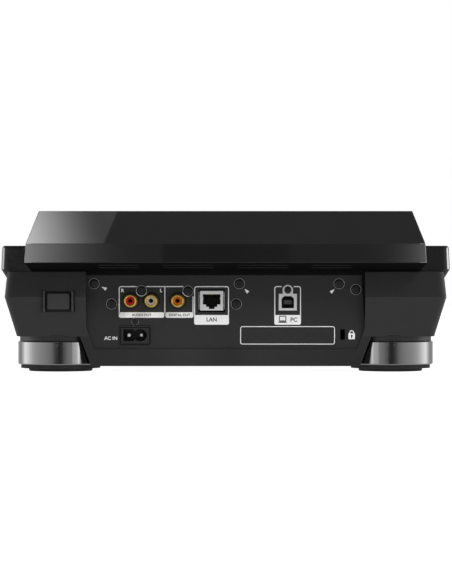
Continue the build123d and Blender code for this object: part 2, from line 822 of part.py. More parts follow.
# Jog wheel: a bearing pan under the deck, a shaft with a code wheel, a dimpled rim and a touch plate
jog_floor_top = deck_top - jog_floor_drop
jog_hub_top = jog_floor_top + jog_hub_rise
jog_floor = jog_floor_top - jog_floor_sheet
wheel_bottom = jog_hub_top + seat_gap
wheel_radius = jog_diameter / 2
wheel_top = deck_top + jog_rise
rim_inner = wheel_radius - jog_rim_width
plate_under = wheel_top - jog_plate_sink - jog_plate_sheet
ledge_height = plate_under - jog_press - seat_gap
code_wheel_top = jog_hub_top - jog_hub_length - seat_gap
jog_plane = Plane(origin=(0, jog_y, 0), x_dir=(1, 0, 0), z_dir=(0, -1, 0))
jog_line = Axis((0, jog_y, 0), (0, 0, 1))

with BuildPart() as jog_bearing:
    with BuildSketch(jog_plane):
        with BuildLine():
            Polyline(
                (jog_shaft_radius + fit_gap, jog_hub_top - jog_hub_length),
                (jog_hub_radius, jog_hub_top - jog_hub_length),
                (jog_hub_radius, jog_floor),
                (well_radius + jog_pan_wall, jog_floor),
                (well_radius + jog_pan_wall, deck_under - jog_flange_sheet),
                (well_radius + jog_flange_width, deck_under - jog_flange_sheet),
                (well_radius + jog_flange_width, deck_under),
                (well_radius, deck_under),
                (well_radius, jog_floor_top),
                (jog_hub_radius, jog_floor_top),
                (jog_hub_radius, jog_hub_top),
                (jog_shaft_radius + fit_gap, jog_hub_top),
                close=True,
            )
        make_face()
    revolve(axis=jog_line)
save(jog_bearing, "jog_bearing")

with BuildPart() as jog_shaft:
    with BuildSketch(Plane(origin=(0, jog_y, code_wheel_top - code_wheel_sheet - jog_shaft_tail))):
        Circle(jog_shaft_radius)
    extrude(amount=wheel_bottom - code_wheel_top + code_wheel_sheet + jog_shaft_tail)
    with BuildSketch(Plane(origin=(0, jog_y, code_wheel_top - code_wheel_sheet))):
        Circle(code_wheel_radius)
    extrude(amount=code_wheel_sheet)
save(jog_shaft, "jog_shaft")

rim_crown = wheel_radius - jog_crown_width
with BuildPart() as jog_wheel:
    with BuildSketch(jog_plane):
        with BuildLine():
            Polyline(
                (0, wheel_bottom),
                (wheel_radius, wheel_bottom),
                (wheel_radius, deck_top + jog_skirt_rise),
                (rim_crown, wheel_top - jog_crown_drop),
            )
            Line((rim_crown, wheel_top - jog_crown_drop), (rim_crown - jog_crown_drop, wheel_top))
            Polyline(
                (rim_crown - jog_crown_drop, wheel_top),
                (rim_inner, wheel_top),
                (rim_inner, ledge_height),
                (rim_inner - jog_ledge_width, ledge_height),
                (rim_inner - jog_ledge_width, wheel_bottom + jog_web),
                (0, wheel_bottom + jog_web),
                (0, wheel_bottom),
            )
        make_face()
    revolve(axis=jog_line)
    slope_rise = wheel_top - jog_crown_drop - deck_top - jog_skirt_rise
    slope_angle = math.atan2(jog_crown_width, slope_rise)
    reach = jog_dimple_radius - jog_dimple_depth
    dimple_r = (wheel_radius + rim_crown) / 2 + reach * math.cos(slope_angle)
    dimple_z = (wheel_top - jog_crown_drop + deck_top + jog_skirt_rise) / 2 + reach * math.sin(slope_angle)
    with Locations((0, jog_y, dimple_z)):
        with PolarLocations(dimple_r, jog_dimples):
            Sphere(jog_dimple_radius, mode=Mode.SUBTRACT)
save(jog_wheel, "jog_wheel")

with BuildPart() as jog_plate:
    with BuildSketch(Plane(origin=(0, jog_y, plate_under))):
        Circle(rim_inner - jog_plate_gap)
    extrude(amount=jog_plate_sheet)
    chamfer(jog_plate.faces().sort_by(Axis.Z)[-1].edges(), key_chamfer)
    with BuildSketch(Plane(origin=(0, jog_y, plate_under + jog_plate_sheet))):
        Circle(jog_dish_radius)
    extrude(amount=-jog_plate_dish, mode=Mode.SUBTRACT)
save(jog_plate, "jog_plate")

# Screen hood: a side profile crossed with a front profile, hollow, open to the deck below
hood_inner_y = deck_rear_y + hood_underside_gap
side_points = (
    (hood_front_y, deck_top),
    (hood_front_y, deck_top + hood_front_lip),
    (ridge_y, ridge_height),
    (rear_y, fold_height),
    (rear_y, belly_height),
    (hood_inner_y, belly_height - hood_belly_drop),
    (hood_inner_y, deck_top),
)
hood_front_half = (
    (hood_half - hood_belly_inset, belly_height - hood_belly_drop),
    (hood_half + hood_band_flare, belly_height),
    (hood_half, fold_height),
    (hood_half - hood_top_inset, ridge_height),
)
front_points = (*hood_front_half, *[(-x, z) for x, z in reversed(hood_front_half)])
opening_front = hood_front_y + hood_opening_margin
opening_rear = hood_front_y + hood_base_depth - hood_opening_margin


def under_face(y):
    """Height of the hood face's inner side."""
    face_height = deck_top + hood_front_lip + (y - hood_front_y) * math.tan(face_tilt)
    return face_height - hood_wall / math.cos(face_tilt)


with BuildPart() as hood_hollow:
    with BuildSketch(Plane.YZ):
        Polygon(*side_points, align=None)
        offset(amount=-hood_wall, kind=Kind.INTERSECTION, mode=Mode.REPLACE)
    extrude(amount=deck_half, both=True)
    with BuildSketch(Plane.XZ.offset(-rear_y)):
        Polygon(*front_points, align=None)
        offset(amount=-hood_wall, kind=Kind.INTERSECTION, mode=Mode.REPLACE)
    extrude(amount=total_depth, mode=Mode.INTERSECT)

glass_place = (0, screen_front_margin + glass_height / 2)
usb_a_place = strip_place("left", usb_a_share)
selector_place = strip_place("right", selector_share)
boss_x = lcd_width / 2 + 2 * hood_boss_radius
top_boss_x = opening_half - 2 * hood_boss_radius
boss_runs = [share * face_length for share in hood_boss_shares]
hood_boss_places = [(side * boss_x, run) for side in (-1, 1) for run in boss_runs]
hood_boss_places += [(side * top_boss_x, menu_key_line) for side in (-1, 0, 1)]
with BuildPart() as display_hood:
    with BuildSketch(Plane.YZ):
        Polygon(*side_points, align=None)
    extrude(amount=deck_half, both=True)
    with BuildSketch(Plane.XZ.offset(-rear_y)):
        Polygon(*front_points, align=None)
    extrude(amount=total_depth, mode=Mode.INTERSECT)
    add(hood_hollow.part, mode=Mode.SUBTRACT)
    with BuildSketch(Plane.YZ):
        opening_points = (
            (opening_front, deck_top - overrun),
            (opening_rear, deck_top - overrun),
            (opening_rear, under_face(opening_rear)),
            (opening_front, under_face(opening_front)),
        )
        Polygon(*opening_points, align=None)
    extrude(amount=opening_half, both=True, mode=Mode.SUBTRACT)
    with BuildSketch(face_plane.offset(-glass_sheet)):
        with Locations(glass_place):
            Rectangle(glass_width + 2 * seat_gap, glass_height + 2 * seat_gap)
    extrude(amount=glass_sheet + overrun, mode=Mode.SUBTRACT)
    with BuildSketch(face_plane.offset(-hood_wall - overrun)):
        with Locations(glass_place):
            Rectangle(lcd_width - 2 * lcd_rim, lcd_height - 2 * lcd_rim)
        for place, size in menu_keys.values():
            with Locations(place):
                key_outline(size, key_gap)
        with Locations(selector_place):
            Circle(dial_shaft_radius + key_gap)
        with Locations(usb_a_place):
            Rectangle(usb_a_width + 2 * seat_gap, usb_a_height + 2 * seat_gap)
    extrude(amount=hood_wall + 2 * overrun, mode=Mode.SUBTRACT)
    with BuildSketch(face_plane.offset(-hood_wall - key_drop)):
        with Locations(*hood_boss_places):
            Circle(hood_boss_radius)
    extrude(amount=key_drop)
    # vent slots in the overhanging underside
    with BuildSketch(Plane.XY.offset(belly_height - hood_belly_drop - overrun)):
        for inner, outer in vent_shares:
            for row in vent_row_shares:
                with Locations((0, hood_inner_y + row * (rear_y - hood_inner_y))):
                    with GridLocations((inner + outer) * hood_half, 0, 2, 1):
                        Rectangle((outer - inner) * hood_half, vent_slot)
    extrude(amount=hood_belly_drop + hood_wall + 2 * overrun, mode=Mode.SUBTRACT)
save(display_hood, "display_hood")

with BuildPart() as screen_glass:
    with BuildSketch(face_plane.offset(-glass_sheet)):
        with Locations(glass_place):
            Rectangle(glass_width, glass_height)
    extrude(amount=glass_sheet)
save(screen_glass, "screen_glass")

with BuildPart() as lcd_module:
    with BuildSketch(face_plane.offset(-hood_wall - lcd_depth)):
        with Locations(glass_place):
            Rectangle(lcd_width, lcd_height)
    extrude(amount=lcd_depth)
save(lcd_module, "lcd_module")

for name, (place, size) in menu_keys.items():
    make_key(name, plane_at(face_plane, place), hood_wall, size, menu_key_rise)

selector_plane = plane_at(face_plane, selector_place)
selector_lift = selector_travel + seat_gap
selector_bore_depth = selector_height - selector_roof
selector_shaft_bottom = hood_wall + key_drop - selector_travel - seat_gap
with BuildPart() as selector_shaft:
    with BuildSketch(selector_plane.offset(-selector_shaft_bottom)):
        Circle(dial_shaft_radius)
    extrude(amount=selector_shaft_bottom + selector_lift + selector_bore_depth - seat_gap)
save(selector_shaft, "selector_shaft")

with BuildPart() as selector_knob:
    with BuildSketch(selector_plane.offset(selector_lift)):
        knob_outline(selector_radius, selector_flutes, selector_flute_radius)
    extrude(amount=selector_height)
    selector_axis = Axis(selector_plane.origin, selector_plane.z_dir)
    chamfer(selector_knob.faces().sort_by(selector_axis)[-1].edges(), key_chamfer)
    with BuildSketch(selector_plane.offset(selector_lift)):
        Circle(dial_shaft_radius + fit_gap)
    extrude(amount=selector_bore_depth, mode=Mode.SUBTRACT)
save(selector_knob, "selector_knob")

with BuildPart() as usb_a_jack:
    with BuildSketch(face_plane.offset(-usb_a_depth)):
        with Locations(usb_a_place):
            Rectangle(usb_a_width, usb_a_height)
    extrude(amount=usb_a_depth - usb_a_lip)
    with BuildSketch(face_plane.offset(-usb_a_lip)):
        with Locations(usb_a_place):
            Rectangle(usb_a_width - 2 * usb_a_wall, usb_a_height - 2 * usb_a_wall)
    extrude(amount=-(usb_a_depth - 2 * usb_a_lip), mode=Mode.SUBTRACT)
save(usb_a_jack, "usb_a_jack")

# Boards behind the keys: the deck's, the hood's and the power key's, each with its switches
board_reach = deck_half - deck_cavity_inset - key_gap
strip_rear = hood_front_y - key_gap
jog_clear_radius = well_radius + jog_flange_width + key_gap
with BuildPart() as control_boards:
    with BuildSketch(Plane.XY.offset(board_top - board_sheet)):
        plan(board_reach, front_y + deck_cavity_inset + key_gap, strip_rear, deck_corner)
        with Locations((0, jog_y)):
            Circle(jog_clear_radius, mode=Mode.SUBTRACT)
        with Locations((0, (front_y + jog_y) / 2)):
            Rectangle(2 * jog_clear_radius, jog_y - front_y, mode=Mode.SUBTRACT)
        with Locations(fader_place):
            Rectangle(fader_body_width + 2 * key_gap, fader_body_length + 2 * key_gap, mode=Mode.SUBTRACT)
    extrude(amount=board_sheet)
    with BuildSketch(Plane.XY.offset(board_top)):
        with Locations(*[place for place, size in deck_keys.values()]):
            Rectangle(switch_size, switch_size)
    extrude(amount=switch_height)
    with BuildSketch(Plane.XY.offset(board_top)):
        with Locations(*dials.values()):
            Rectangle(pot_size, pot_size)
            Circle(dial_shaft_radius + fit_gap, mode=Mode.SUBTRACT)
    extrude(amount=pot_height)
    lever_cheek_reach = lever_width / 2 + key_gap + lever_cheek / 2
    with BuildSketch(Plane.XY.offset(board_top)):
        with Locations(*[(lever_place[0] + side * lever_cheek_reach, lever_place[1]) for side in (-1, 1)]):
            Rectangle(lever_cheek, 2 * lever_length)
    extrude(amount=lever_pivot_rise + 2 * lever_pin_radius)
    with BuildSketch(Plane(origin=lever_pivot, x_dir=(0, 1, 0), z_dir=(1, 0, 0))):
        Circle(lever_pin_radius + fit_gap)
    extrude(amount=lever_cheek_reach + lever_cheek, both=True, mode=Mode.SUBTRACT)
    # the hood's board runs down both sides of the screen
    hood_board = face_plane.offset(-hood_wall - key_drop)
    board_side = opening_half - hood_wall
    board_low = min(boss_runs) - 2 * hood_boss_radius
    board_high = face_length - hood_wall
    with BuildSketch(hood_board.offset(-board_sheet)):
        with Locations((0, (board_low + board_high) / 2)):
            Rectangle(2 * board_side, board_high - board_low)
        with Locations(glass_place):
            Rectangle(lcd_width + 2 * key_gap, lcd_height + 2 * key_gap, mode=Mode.SUBTRACT)
        with Locations(usb_a_place):
            Rectangle(usb_a_width + 2 * key_gap, usb_a_height + 2 * key_gap, mode=Mode.SUBTRACT)
    extrude(amount=board_sheet)
    with BuildSketch(hood_board):
        with Locations(*[place for place, size in menu_keys.values()]):
            Rectangle(switch_size, switch_size)
    extrude(amount=switch_height)
    with BuildSketch(hood_board):
        with Locations(selector_place):
            Rectangle(pot_size, pot_size)
            Circle(dial_shaft_radius + fit_gap, mode=Mode.SUBTRACT)
    extrude(amount=pot_height)
    # the power key's board, held by the two posts of the rear wall
    with BuildSketch(power_plane.offset(-power_board_y - board_sheet)):
        Rectangle(power_key_width + 4 * power_pad_margin, power_key_height + 2 * power_pad_margin)
    extrude(amount=board_sheet)
    with BuildSketch(power_plane.offset(-power_board_y)):
        Rectangle(switch_size, switch_size)
    extrude(amount=switch_height)
save(control_boards, "control_boards")

make_key("power_button", power_plane, power_pad_depth, power_size, power_key_reach)

# Socket panel: folded sheet behind the recess
panel_back = rear_plane.offset(-panel_sheet)
with BuildPart() as jack_panel:
    with BuildSketch(panel_back):
        recess_profile(panel_flange, case_top + panel_tuck)
        with Locations(*rca_places):
            Circle(rca_collar_radius + fit_gap, mode=Mode.SUBTRACT)
        with Locations(lan_place):
            Rectangle(lan_width + 2 * lan_hole_margin, lan_height + 2 * lan_hole_margin, mode=Mode.SUBTRACT)
        with Locations(usb_b_place):
            Rectangle(usb_b_width + 2 * seat_gap, usb_b_height + 2 * seat_gap, mode=Mode.SUBTRACT)
        with Locations(inlet_place):
            Rectangle(inlet_width + 2 * fit_gap, inlet_height + 2 * fit_gap, mode=Mode.SUBTRACT)
        with Locations(rear_place(*lock_slot_shares)):
            SlotOverall(lock_slot_height, lock_slot_width, rotation=90, mode=Mode.SUBTRACT)
        with Locations(*panel_screw_places, inlet_screw_place, lug_screw_place):
            Circle(screw_hole_radius, mode=Mode.SUBTRACT)
    extrude(amount=panel_sheet)
    with BuildSketch(rear_plane):
        with Locations(*panel_screw_places):
            Circle(screw_pocket_radius)
    extrude(amount=-screw_pocket_depth, mode=Mode.SUBTRACT)
save(jack_panel, "jack_panel")

# Screws: the panel's own are sunk in pockets, the inlet's and the lug's stand on the sheet
screw_seats = (
    (panel_screw_places, -screw_pocket_depth, screw_head_radius),
    ([inlet_screw_place], 0, small_head_radius),
    ([lug_screw_place], usb_b_lug_sheet, small_head_radius),
)
with BuildPart() as case_screws:
    for places, seat, head_radius in screw_seats:
        with BuildSketch(rear_plane.offset(seat)):
            with Locations(*places):
                Circle(head_radius)
        extrude(amount=screw_head_height)
        with BuildSketch(panel_back):
            with Locations(*places):
                Circle(screw_shank_radius)
        extrude(amount=panel_sheet + seat)
    with BuildSketch(Plane.XY.offset(keel_bottom - screw_head_height)):
        with Locations(*plate_screw_places):
            Circle(screw_head_radius)
    extrude(amount=screw_head_height)
    with BuildSketch(Plane.XY.offset(keel_bottom)):
        with Locations(*plate_screw_places):
            Circle(screw_shank_radius)
    extrude(amount=standoff_height)
save(case_screws, "case_screws")

# Audio sockets: one moulded block with a collar for each barrel, the barrels, and their coloured inserts
rca_insert_radius = rca_radius - rca_wall - fit_gap
block_left = min(x for x, z in rca_places) - rca_block_margin
block_right = max(x for x, z in rca_places) + rca_block_margin
block_top = rca_places[0][1] + rca_block_crown
with BuildPart() as rca_block:
    with BuildSketch(panel_back):
        with Locations(((block_left + block_right) / 2, (jack_board_top + block_top) / 2)):
            Rectangle(block_right - block_left, block_top - jack_board_top)
    extrude(amount=-rca_block_depth)
    with BuildSketch(panel_back):
        with Locations(*rca_places):
            Circle(rca_collar_radius)
    extrude(amount=panel_sheet + rca_collar_reach)
    with BuildSketch(panel_back.offset(-rca_block_depth / 2)):
        with Locations(*rca_places):
            Circle(rca_insert_radius + fit_gap)
    extrude(amount=rca_block_depth, mode=Mode.SUBTRACT)
save(rca_block, "rca_block")

with BuildPart() as rca_barrels:
    with BuildSketch(rear_plane.offset(rca_collar_reach)):
        with Locations(*rca_places):
            Circle(rca_radius)
    extrude(amount=rca_reach - rca_collar_reach)
    chamfer(rca_barrels.edges().filter_by(GeomType.CIRCLE).group_by(Axis.Y)[-1], rca_wall / 2)
    with BuildSketch(rear_plane.offset(rca_collar_reach)):
        with Locations(*rca_places):
            Circle(rca_insert_radius + fit_gap)
    extrude(amount=rca_reach, mode=Mode.SUBTRACT)
save(rca_barrels, "rca_barrels")

with BuildPart() as rca_inserts:
    with BuildSketch(panel_back.offset(-rca_block_depth / 2)):
        with Locations(*rca_places):
            Circle(rca_insert_radius)
            Circle(rca_pin_hole_radius, mode=Mode.SUBTRACT)
    extrude(amount=rca_block_depth / 2 + panel_sheet + rca_reach - rca_insert_sink)
save(rca_inserts, "rca_inserts")

with BuildPart() as lan_jack:
    with BuildSketch(rear_plane):
        with Locations(lan_place):
            Rectangle(lan_width, lan_height)
    extrude(amount=-(lan_cavity_depth + lan_back))
    # the mouth narrows downwards in two steps, for the plug's latch and its hook
    lan_steps = (
        (lan_cavity_width, lan_cavity_height),
        (lan_latch_width, lan_latch_height),
        (lan_hook_width, lan_hook_height),
    )
    step_top = lan_place[1] + lan_height / 2 - lan_roof
    with BuildSketch(rear_plane):
        for width, height in lan_steps:
            with Locations((lan_place[0], step_top)):
                Rectangle(width, height, align=(Align.CENTER, Align.MAX))
            step_top -= height
    extrude(amount=-lan_cavity_depth, mode=Mode.SUBTRACT)
save(lan_jack, "lan_jack")

with BuildPart() as usb_b_jack:
    with BuildSketch(rear_plane.offset(usb_b_reach)):
        with Locations(usb_b_place):
            Rectangle(usb_b_width, usb_b_height)
    extrude(amount=-(usb_b_cavity_depth + usb_b_back))
    neck_height = lug_screw_place[1] - usb_b_place[1] - usb_b_height / 2
    with BuildSketch(rear_plane):
        with Locations(lug_screw_place):
            Circle(usb_b_lug_radius)
            Rectangle(usb_b_neck_width, neck_height, align=(Align.CENTER, Align.MAX))
            Circle(screw_hole_radius, mode=Mode.SUBTRACT)
    extrude(amount=usb_b_lug_sheet)
    half_width = usb_b_cavity_width / 2
    half_height = usb_b_cavity_height / 2
    with BuildSketch(rear_plane.offset(usb_b_reach)):
        with Locations(usb_b_place):
            Polygon(
                (-half_width, -half_height),
                (half_width, -half_height),
                (half_width, half_height - usb_b_corner_cut),
                (half_width - usb_b_corner_cut, half_height),
                (usb_b_corner_cut - half_width, half_height),
                (-half_width, half_height - usb_b_corner_cut),
                align=None,
            )
    extrude(amount=-usb_b_cavity_depth, mode=Mode.SUBTRACT)
save(usb_b_jack, "usb_b_jack")

usb_a_tongue_width = usb_a_width - 4 * usb_a_wall
with BuildPart() as port_tongues:
    with BuildSketch(rear_plane.offset(usb_b_reach - usb_b_cavity_depth)):
        with Locations(usb_b_place):
            Rectangle(tongue_width, tongue_thickness)
    extrude(amount=tongue_length)
    with BuildSketch(face_plane.offset(-usb_a_depth + usb_a_lip)):
        with Locations((usb_a_place[0], usb_a_place[1] + usb_a_height / 4)):
            Rectangle(usb_a_tongue_width, usb_a_height / 4)
    extrude(amount=tongue_length)
save(port_tongues, "port_tongues")


def inlet_outline(width, height):
    """Draws the inlet's outline: a square lobe and a round one, with a notch between them above and below."""
    half = height / 2
    round_x = width / 2 - half
    Polygon(
        (-width / 2, -half),
        (-inlet_notch, -half),
        (0, inlet_notch - half),
        (inlet_notch, -half),
        (round_x, -half),
        (round_x, half),
        (inlet_notch, half),
        (0, half - inlet_notch),
        (-inlet_notch, half),
        (-width / 2, half),
        align=None,
    )
    with Locations((round_x, 0)):
        Circle(half)


with BuildPart() as ac_inlet:
    inlet_plane = plane_at(rear_plane, inlet_place)
    with BuildSketch(inlet_plane.offset(inlet_reach)):
        Rectangle(inlet_width, inlet_height)
    extrude(amount=-(inlet_cavity_depth + inlet_back))
    with BuildSketch(inlet_plane.offset(-panel_sheet)):
        Rectangle(inlet_width + 2 * inlet_flange, inlet_height + 2 * inlet_flange)
    extrude(amount=-inlet_flange)
    with BuildSketch(inlet_plane.offset(inlet_reach)):
        inlet_outline(inlet_cavity_width, inlet_cavity_height)
    extrude(amount=-inlet_cavity_depth, mode=Mode.SUBTRACT)
save(ac_inlet, "ac_inlet")

with BuildPart() as ac_pins:
    with BuildSketch(inlet_plane.offset(inlet_reach - inlet_cavity_depth)):
        with GridLocations(inlet_pin_pitch, 0, 2, 1):
            Circle(inlet_pin_radius)
    extrude(amount=inlet_pin_length)
    chamfer(ac_pins.edges().filter_by(GeomType.CIRCLE).group_by(Axis.Y)[-1], inlet_pin_radius / 3)
save(ac_pins, "ac_pins")

# Boards on the bottom plate, and the socket board that the sockets stand on
power_board_place = (0, keel_rear_y - power_board_margin - power_board_depth / 2)
main_board_place = (0, power_board_place[1] - power_board_depth / 2 - key_drop - main_board_depth / 2)
board_floor = plate_top + standoff_height
boards = (
    (main_board_place, main_board_width, main_board_depth),
    (power_board_place, power_board_width, power_board_depth),
)
with BuildPart() as bottom_plate:
    with BuildSketch(Plane.XZ.offset(-(shelf_rear_y - keel_lip - seat_gap))):
        keel_profile(keel_lip + seat_gap, keel_bottom, plate_top)
    extrude(amount=keel_length - 2 * keel_lip - 2 * seat_gap)
    with BuildSketch(Plane.XY.offset(keel_bottom - overrun)):
        with Locations(*foot_places()):
            Circle(pocket_radius + case_wall + seat_gap)
    extrude(amount=panel_sheet + 2 * overrun, mode=Mode.SUBTRACT)
    with BuildSketch(Plane.XY.offset(keel_bottom)):
        with Locations(*plate_screw_places):
            Circle(screw_hole_radius)
    extrude(amount=panel_sheet, mode=Mode.SUBTRACT)
    with BuildSketch(Plane.XY.offset(plate_top)):
        for (x, y), width, depth in boards:
            with Locations(*[(x + sx * width, y + sy * depth) for sx, sy in main_standoff_shares]):
                Circle(standoff_radius)
    extrude(amount=standoff_height)
save(bottom_plate, "bottom_plate")

with BuildPart() as main_board:
    with BuildSketch(Plane(origin=(*main_board_place, board_floor))):
        Rectangle(main_board_width, main_board_depth)
    extrude(amount=board_sheet)
    with BuildSketch(Plane(origin=(*main_board_place, board_floor + board_sheet))):
        with GridLocations(main_board_width / 3, main_board_depth / 3, 2, 2):
            Rectangle(main_board_width / 6, main_board_width / 6)
    extrude(amount=board_part_height / 4)
save(main_board, "main_board")

with BuildPart() as power_board:
    with BuildSketch(Plane(origin=(*power_board_place, board_floor))):
        Rectangle(power_board_width, power_board_depth)
    extrude(amount=board_sheet)
    with BuildSketch(Plane(origin=(*power_board_place, board_floor + board_sheet))):
        Rectangle(power_board_width / 4, power_board_depth / 2)
        with GridLocations(power_board_width / 2, power_board_depth / 2, 2, 2):
            Circle(board_part_height / 2)
    extrude(amount=board_part_height)
    with BuildSketch(Plane(origin=(*power_board_place, board_floor + board_sheet))):
        with GridLocations(power_board_width * 3 / 4, 0, 2, 1):
            Rectangle(board_sheet, power_board_depth / 2)
    extrude(amount=heat_sink_height)
save(power_board, "power_board")

jack_board_left = block_left - jack_board_margin
jack_board_right = usb_b_place[0] + usb_b_width / 2 + jack_board_margin
with BuildPart() as jack_board:
    with BuildSketch(Plane.XY.offset(jack_board_top - board_sheet)):
        with Locations((-(jack_board_left + jack_board_right) / 2, panel_y - panel_sheet)):
            Rectangle(
                jack_board_right - jack_board_left,
                jack_board_depth,
                align=(Align.CENTER, Align.MAX),
            )
    extrude(amount=board_sheet)
save(jack_board, "jack_board")
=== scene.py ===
"""Dresses the media player's solids: finishes, prints, screws, contacts, signs, studio light and camera."""
import json
import math

import bmesh
import bpy
from mathutils import Matrix, Vector


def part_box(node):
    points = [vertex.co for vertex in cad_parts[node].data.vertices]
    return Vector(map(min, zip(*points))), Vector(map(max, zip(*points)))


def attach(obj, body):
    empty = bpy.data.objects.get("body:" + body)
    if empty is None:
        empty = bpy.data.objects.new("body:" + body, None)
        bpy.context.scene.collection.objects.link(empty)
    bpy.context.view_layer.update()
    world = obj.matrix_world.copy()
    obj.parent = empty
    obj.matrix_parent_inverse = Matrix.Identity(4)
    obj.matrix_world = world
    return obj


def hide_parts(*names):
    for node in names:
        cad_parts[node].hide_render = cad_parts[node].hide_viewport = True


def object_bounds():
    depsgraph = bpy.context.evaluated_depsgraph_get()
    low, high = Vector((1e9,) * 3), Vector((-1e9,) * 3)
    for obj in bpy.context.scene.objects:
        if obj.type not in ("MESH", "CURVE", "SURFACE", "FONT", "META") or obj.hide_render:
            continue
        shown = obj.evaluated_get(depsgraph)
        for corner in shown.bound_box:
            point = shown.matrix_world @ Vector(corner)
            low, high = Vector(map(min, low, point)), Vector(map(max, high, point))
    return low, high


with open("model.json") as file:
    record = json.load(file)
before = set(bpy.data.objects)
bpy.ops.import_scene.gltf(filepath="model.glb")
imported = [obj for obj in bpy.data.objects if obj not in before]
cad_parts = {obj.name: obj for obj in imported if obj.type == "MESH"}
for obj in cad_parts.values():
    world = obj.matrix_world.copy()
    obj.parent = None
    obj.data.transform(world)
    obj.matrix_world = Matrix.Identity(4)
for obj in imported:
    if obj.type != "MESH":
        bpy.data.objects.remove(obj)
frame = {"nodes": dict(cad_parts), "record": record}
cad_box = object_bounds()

scene = bpy.context.scene
mm = 0.001
print_lift = 0.03 * mm


class Wire:
    """A shader socket. Python operators on it add Math nodes."""

    def __init__(self, shop, socket):
        self.shop = shop
        self.socket = socket

    def calc(self, operation, *values):
        return self.shop.node("Math", {"operation": operation}, dict(enumerate(values)))

    def __add__(self, other):
        return self.calc("ADD", self, other)

    def __radd__(self, other):
        return self.calc("ADD", other, self)

    def __sub__(self, other):
        return self.calc("SUBTRACT", self, other)

    def __rsub__(self, other):
        return self.calc("SUBTRACT", other, self)

    def __mul__(self, other):
        return self.calc("MULTIPLY", self, other)

    def __rmul__(self, other):
        return self.calc("MULTIPLY", other, self)

    def __truediv__(self, other):
        return self.calc("DIVIDE", self, other)

    def __pow__(self, other):
        return self.calc("POWER", self, other)

    def __gt__(self, other):
        return self.calc("GREATER_THAN", self, other)

    def __lt__(self, other):
        return self.calc("LESS_THAN", self, other)

    def __abs__(self):
        return self.calc("ABSOLUTE", self)

    def step(self, low, high):
        """Rises smoothly from 0 at low to 1 at high."""
        settings = {"interpolation_type": "SMOOTHSTEP"}
        return self.shop.node("MapRange", settings, {"Value": self, "From Min": low, "From Max": high})


class Shop:
    """A node tree under construction."""

    def __init__(self, tree):
        self.tree = tree
        tree.nodes.clear()

    def node(self, kind, settings, inputs, out=0):
        """Adds a node, makes its settings, then sets or links its sockets, and returns one output."""
        made = self.tree.nodes.new("ShaderNode" + kind)
        for name, value in settings.items():
            if name == "stops":
                stops = made.color_ramp.elements
                for spare in list(stops)[1:]:
                    stops.remove(spare)
                for index, (position, shade) in enumerate(value):
                    stop = stops[0] if index == 0 else stops.new(position)
                    stop.position = position
                    stop.color = grey(shade)
            else:
                setattr(made, name, value)
        for key, value in inputs.items():
            if isinstance(value, Wire):
                self.tree.links.new(value.socket, made.inputs[key])
            else:
                made.inputs[key].default_value = value
        return Wire(self, made.outputs[out]) if made.outputs else None

    def blend(self, share, first, second):
        """Mixes two colours."""
        return self.node("Mix", {"data_type": "RGBA"}, {0: share, 6: first, 7: second}, 2)

    def place(self):
        """The point on the surface, in metres, riding with its body."""
        return self.node("TexCoord", {}, {}, "Object")

    def part(self, vector, axis):
        """One component of a vector."""
        return self.node("SeparateXYZ", {}, {0: vector}, axis)

    def along(self, axis):
        """How far along an axis of the frame the point is."""
        return self.part(self.place(), axis)

    def noise(self, size, detail=2.0):
        return self.node("TexNoise", {}, {"Vector": self.place(), "Scale": 1 / size, "Detail": detail})

    def streaks(self, size, stretch):
        """Noise drawn out along one axis or more."""
        drawn = self.node("Mapping", {"vector_type": "POINT"}, {"Vector": self.place(), "Scale": stretch})
        return self.node("TexNoise", {}, {"Vector": drawn, "Scale": 1 / size, "Detail": 3.0})

    def cells(self, size):
        return self.node("TexVoronoi", {}, {"Vector": self.place(), "Scale": 1 / size})

    def edges(self, radius):
        """The normal with edges rounded to that radius, and a mask of where the rounding turns it."""
        soft = self.node("Bevel", {"samples": 4}, {"Radius": radius})
        flat = self.node("NewGeometry", {}, {}, "True Normal")
        turn = self.node("VectorMath", {"operation": "DOT_PRODUCT"}, {0: soft, 1: flat}, 1)
        return soft, (1 - turn).step(0.0, 0.12)

    def bump(self, height, depth, normal=None):
        inputs = {"Height": height, "Distance": depth, "Strength": 1.0}
        if normal:
            inputs["Normal"] = normal
        return self.node("Bump", {}, inputs)


finishes = {}


class Finish(Shop):
    """A procedural material, kept by its name."""

    def __init__(self, name):
        self.material = bpy.data.materials.new(name)
        self.material.use_nodes = True
        finishes[name] = self.material
        super().__init__(self.material.node_tree)

    def surface(self, **inputs):
        """Adds a surface shader; underscores in the names stand for spaces."""
        sockets = {name.replace("_", " "): value for name, value in inputs.items()}
        return self.node("BsdfPrincipled", {}, sockets)

    def end(self, surface):
        self.node("OutputMaterial", {}, {"Surface": surface})

    def shade(self, **inputs):
        """Ends the material in one surface shader."""
        self.end(self.surface(**inputs))


def grey(level):
    return (level, level, level, 1)


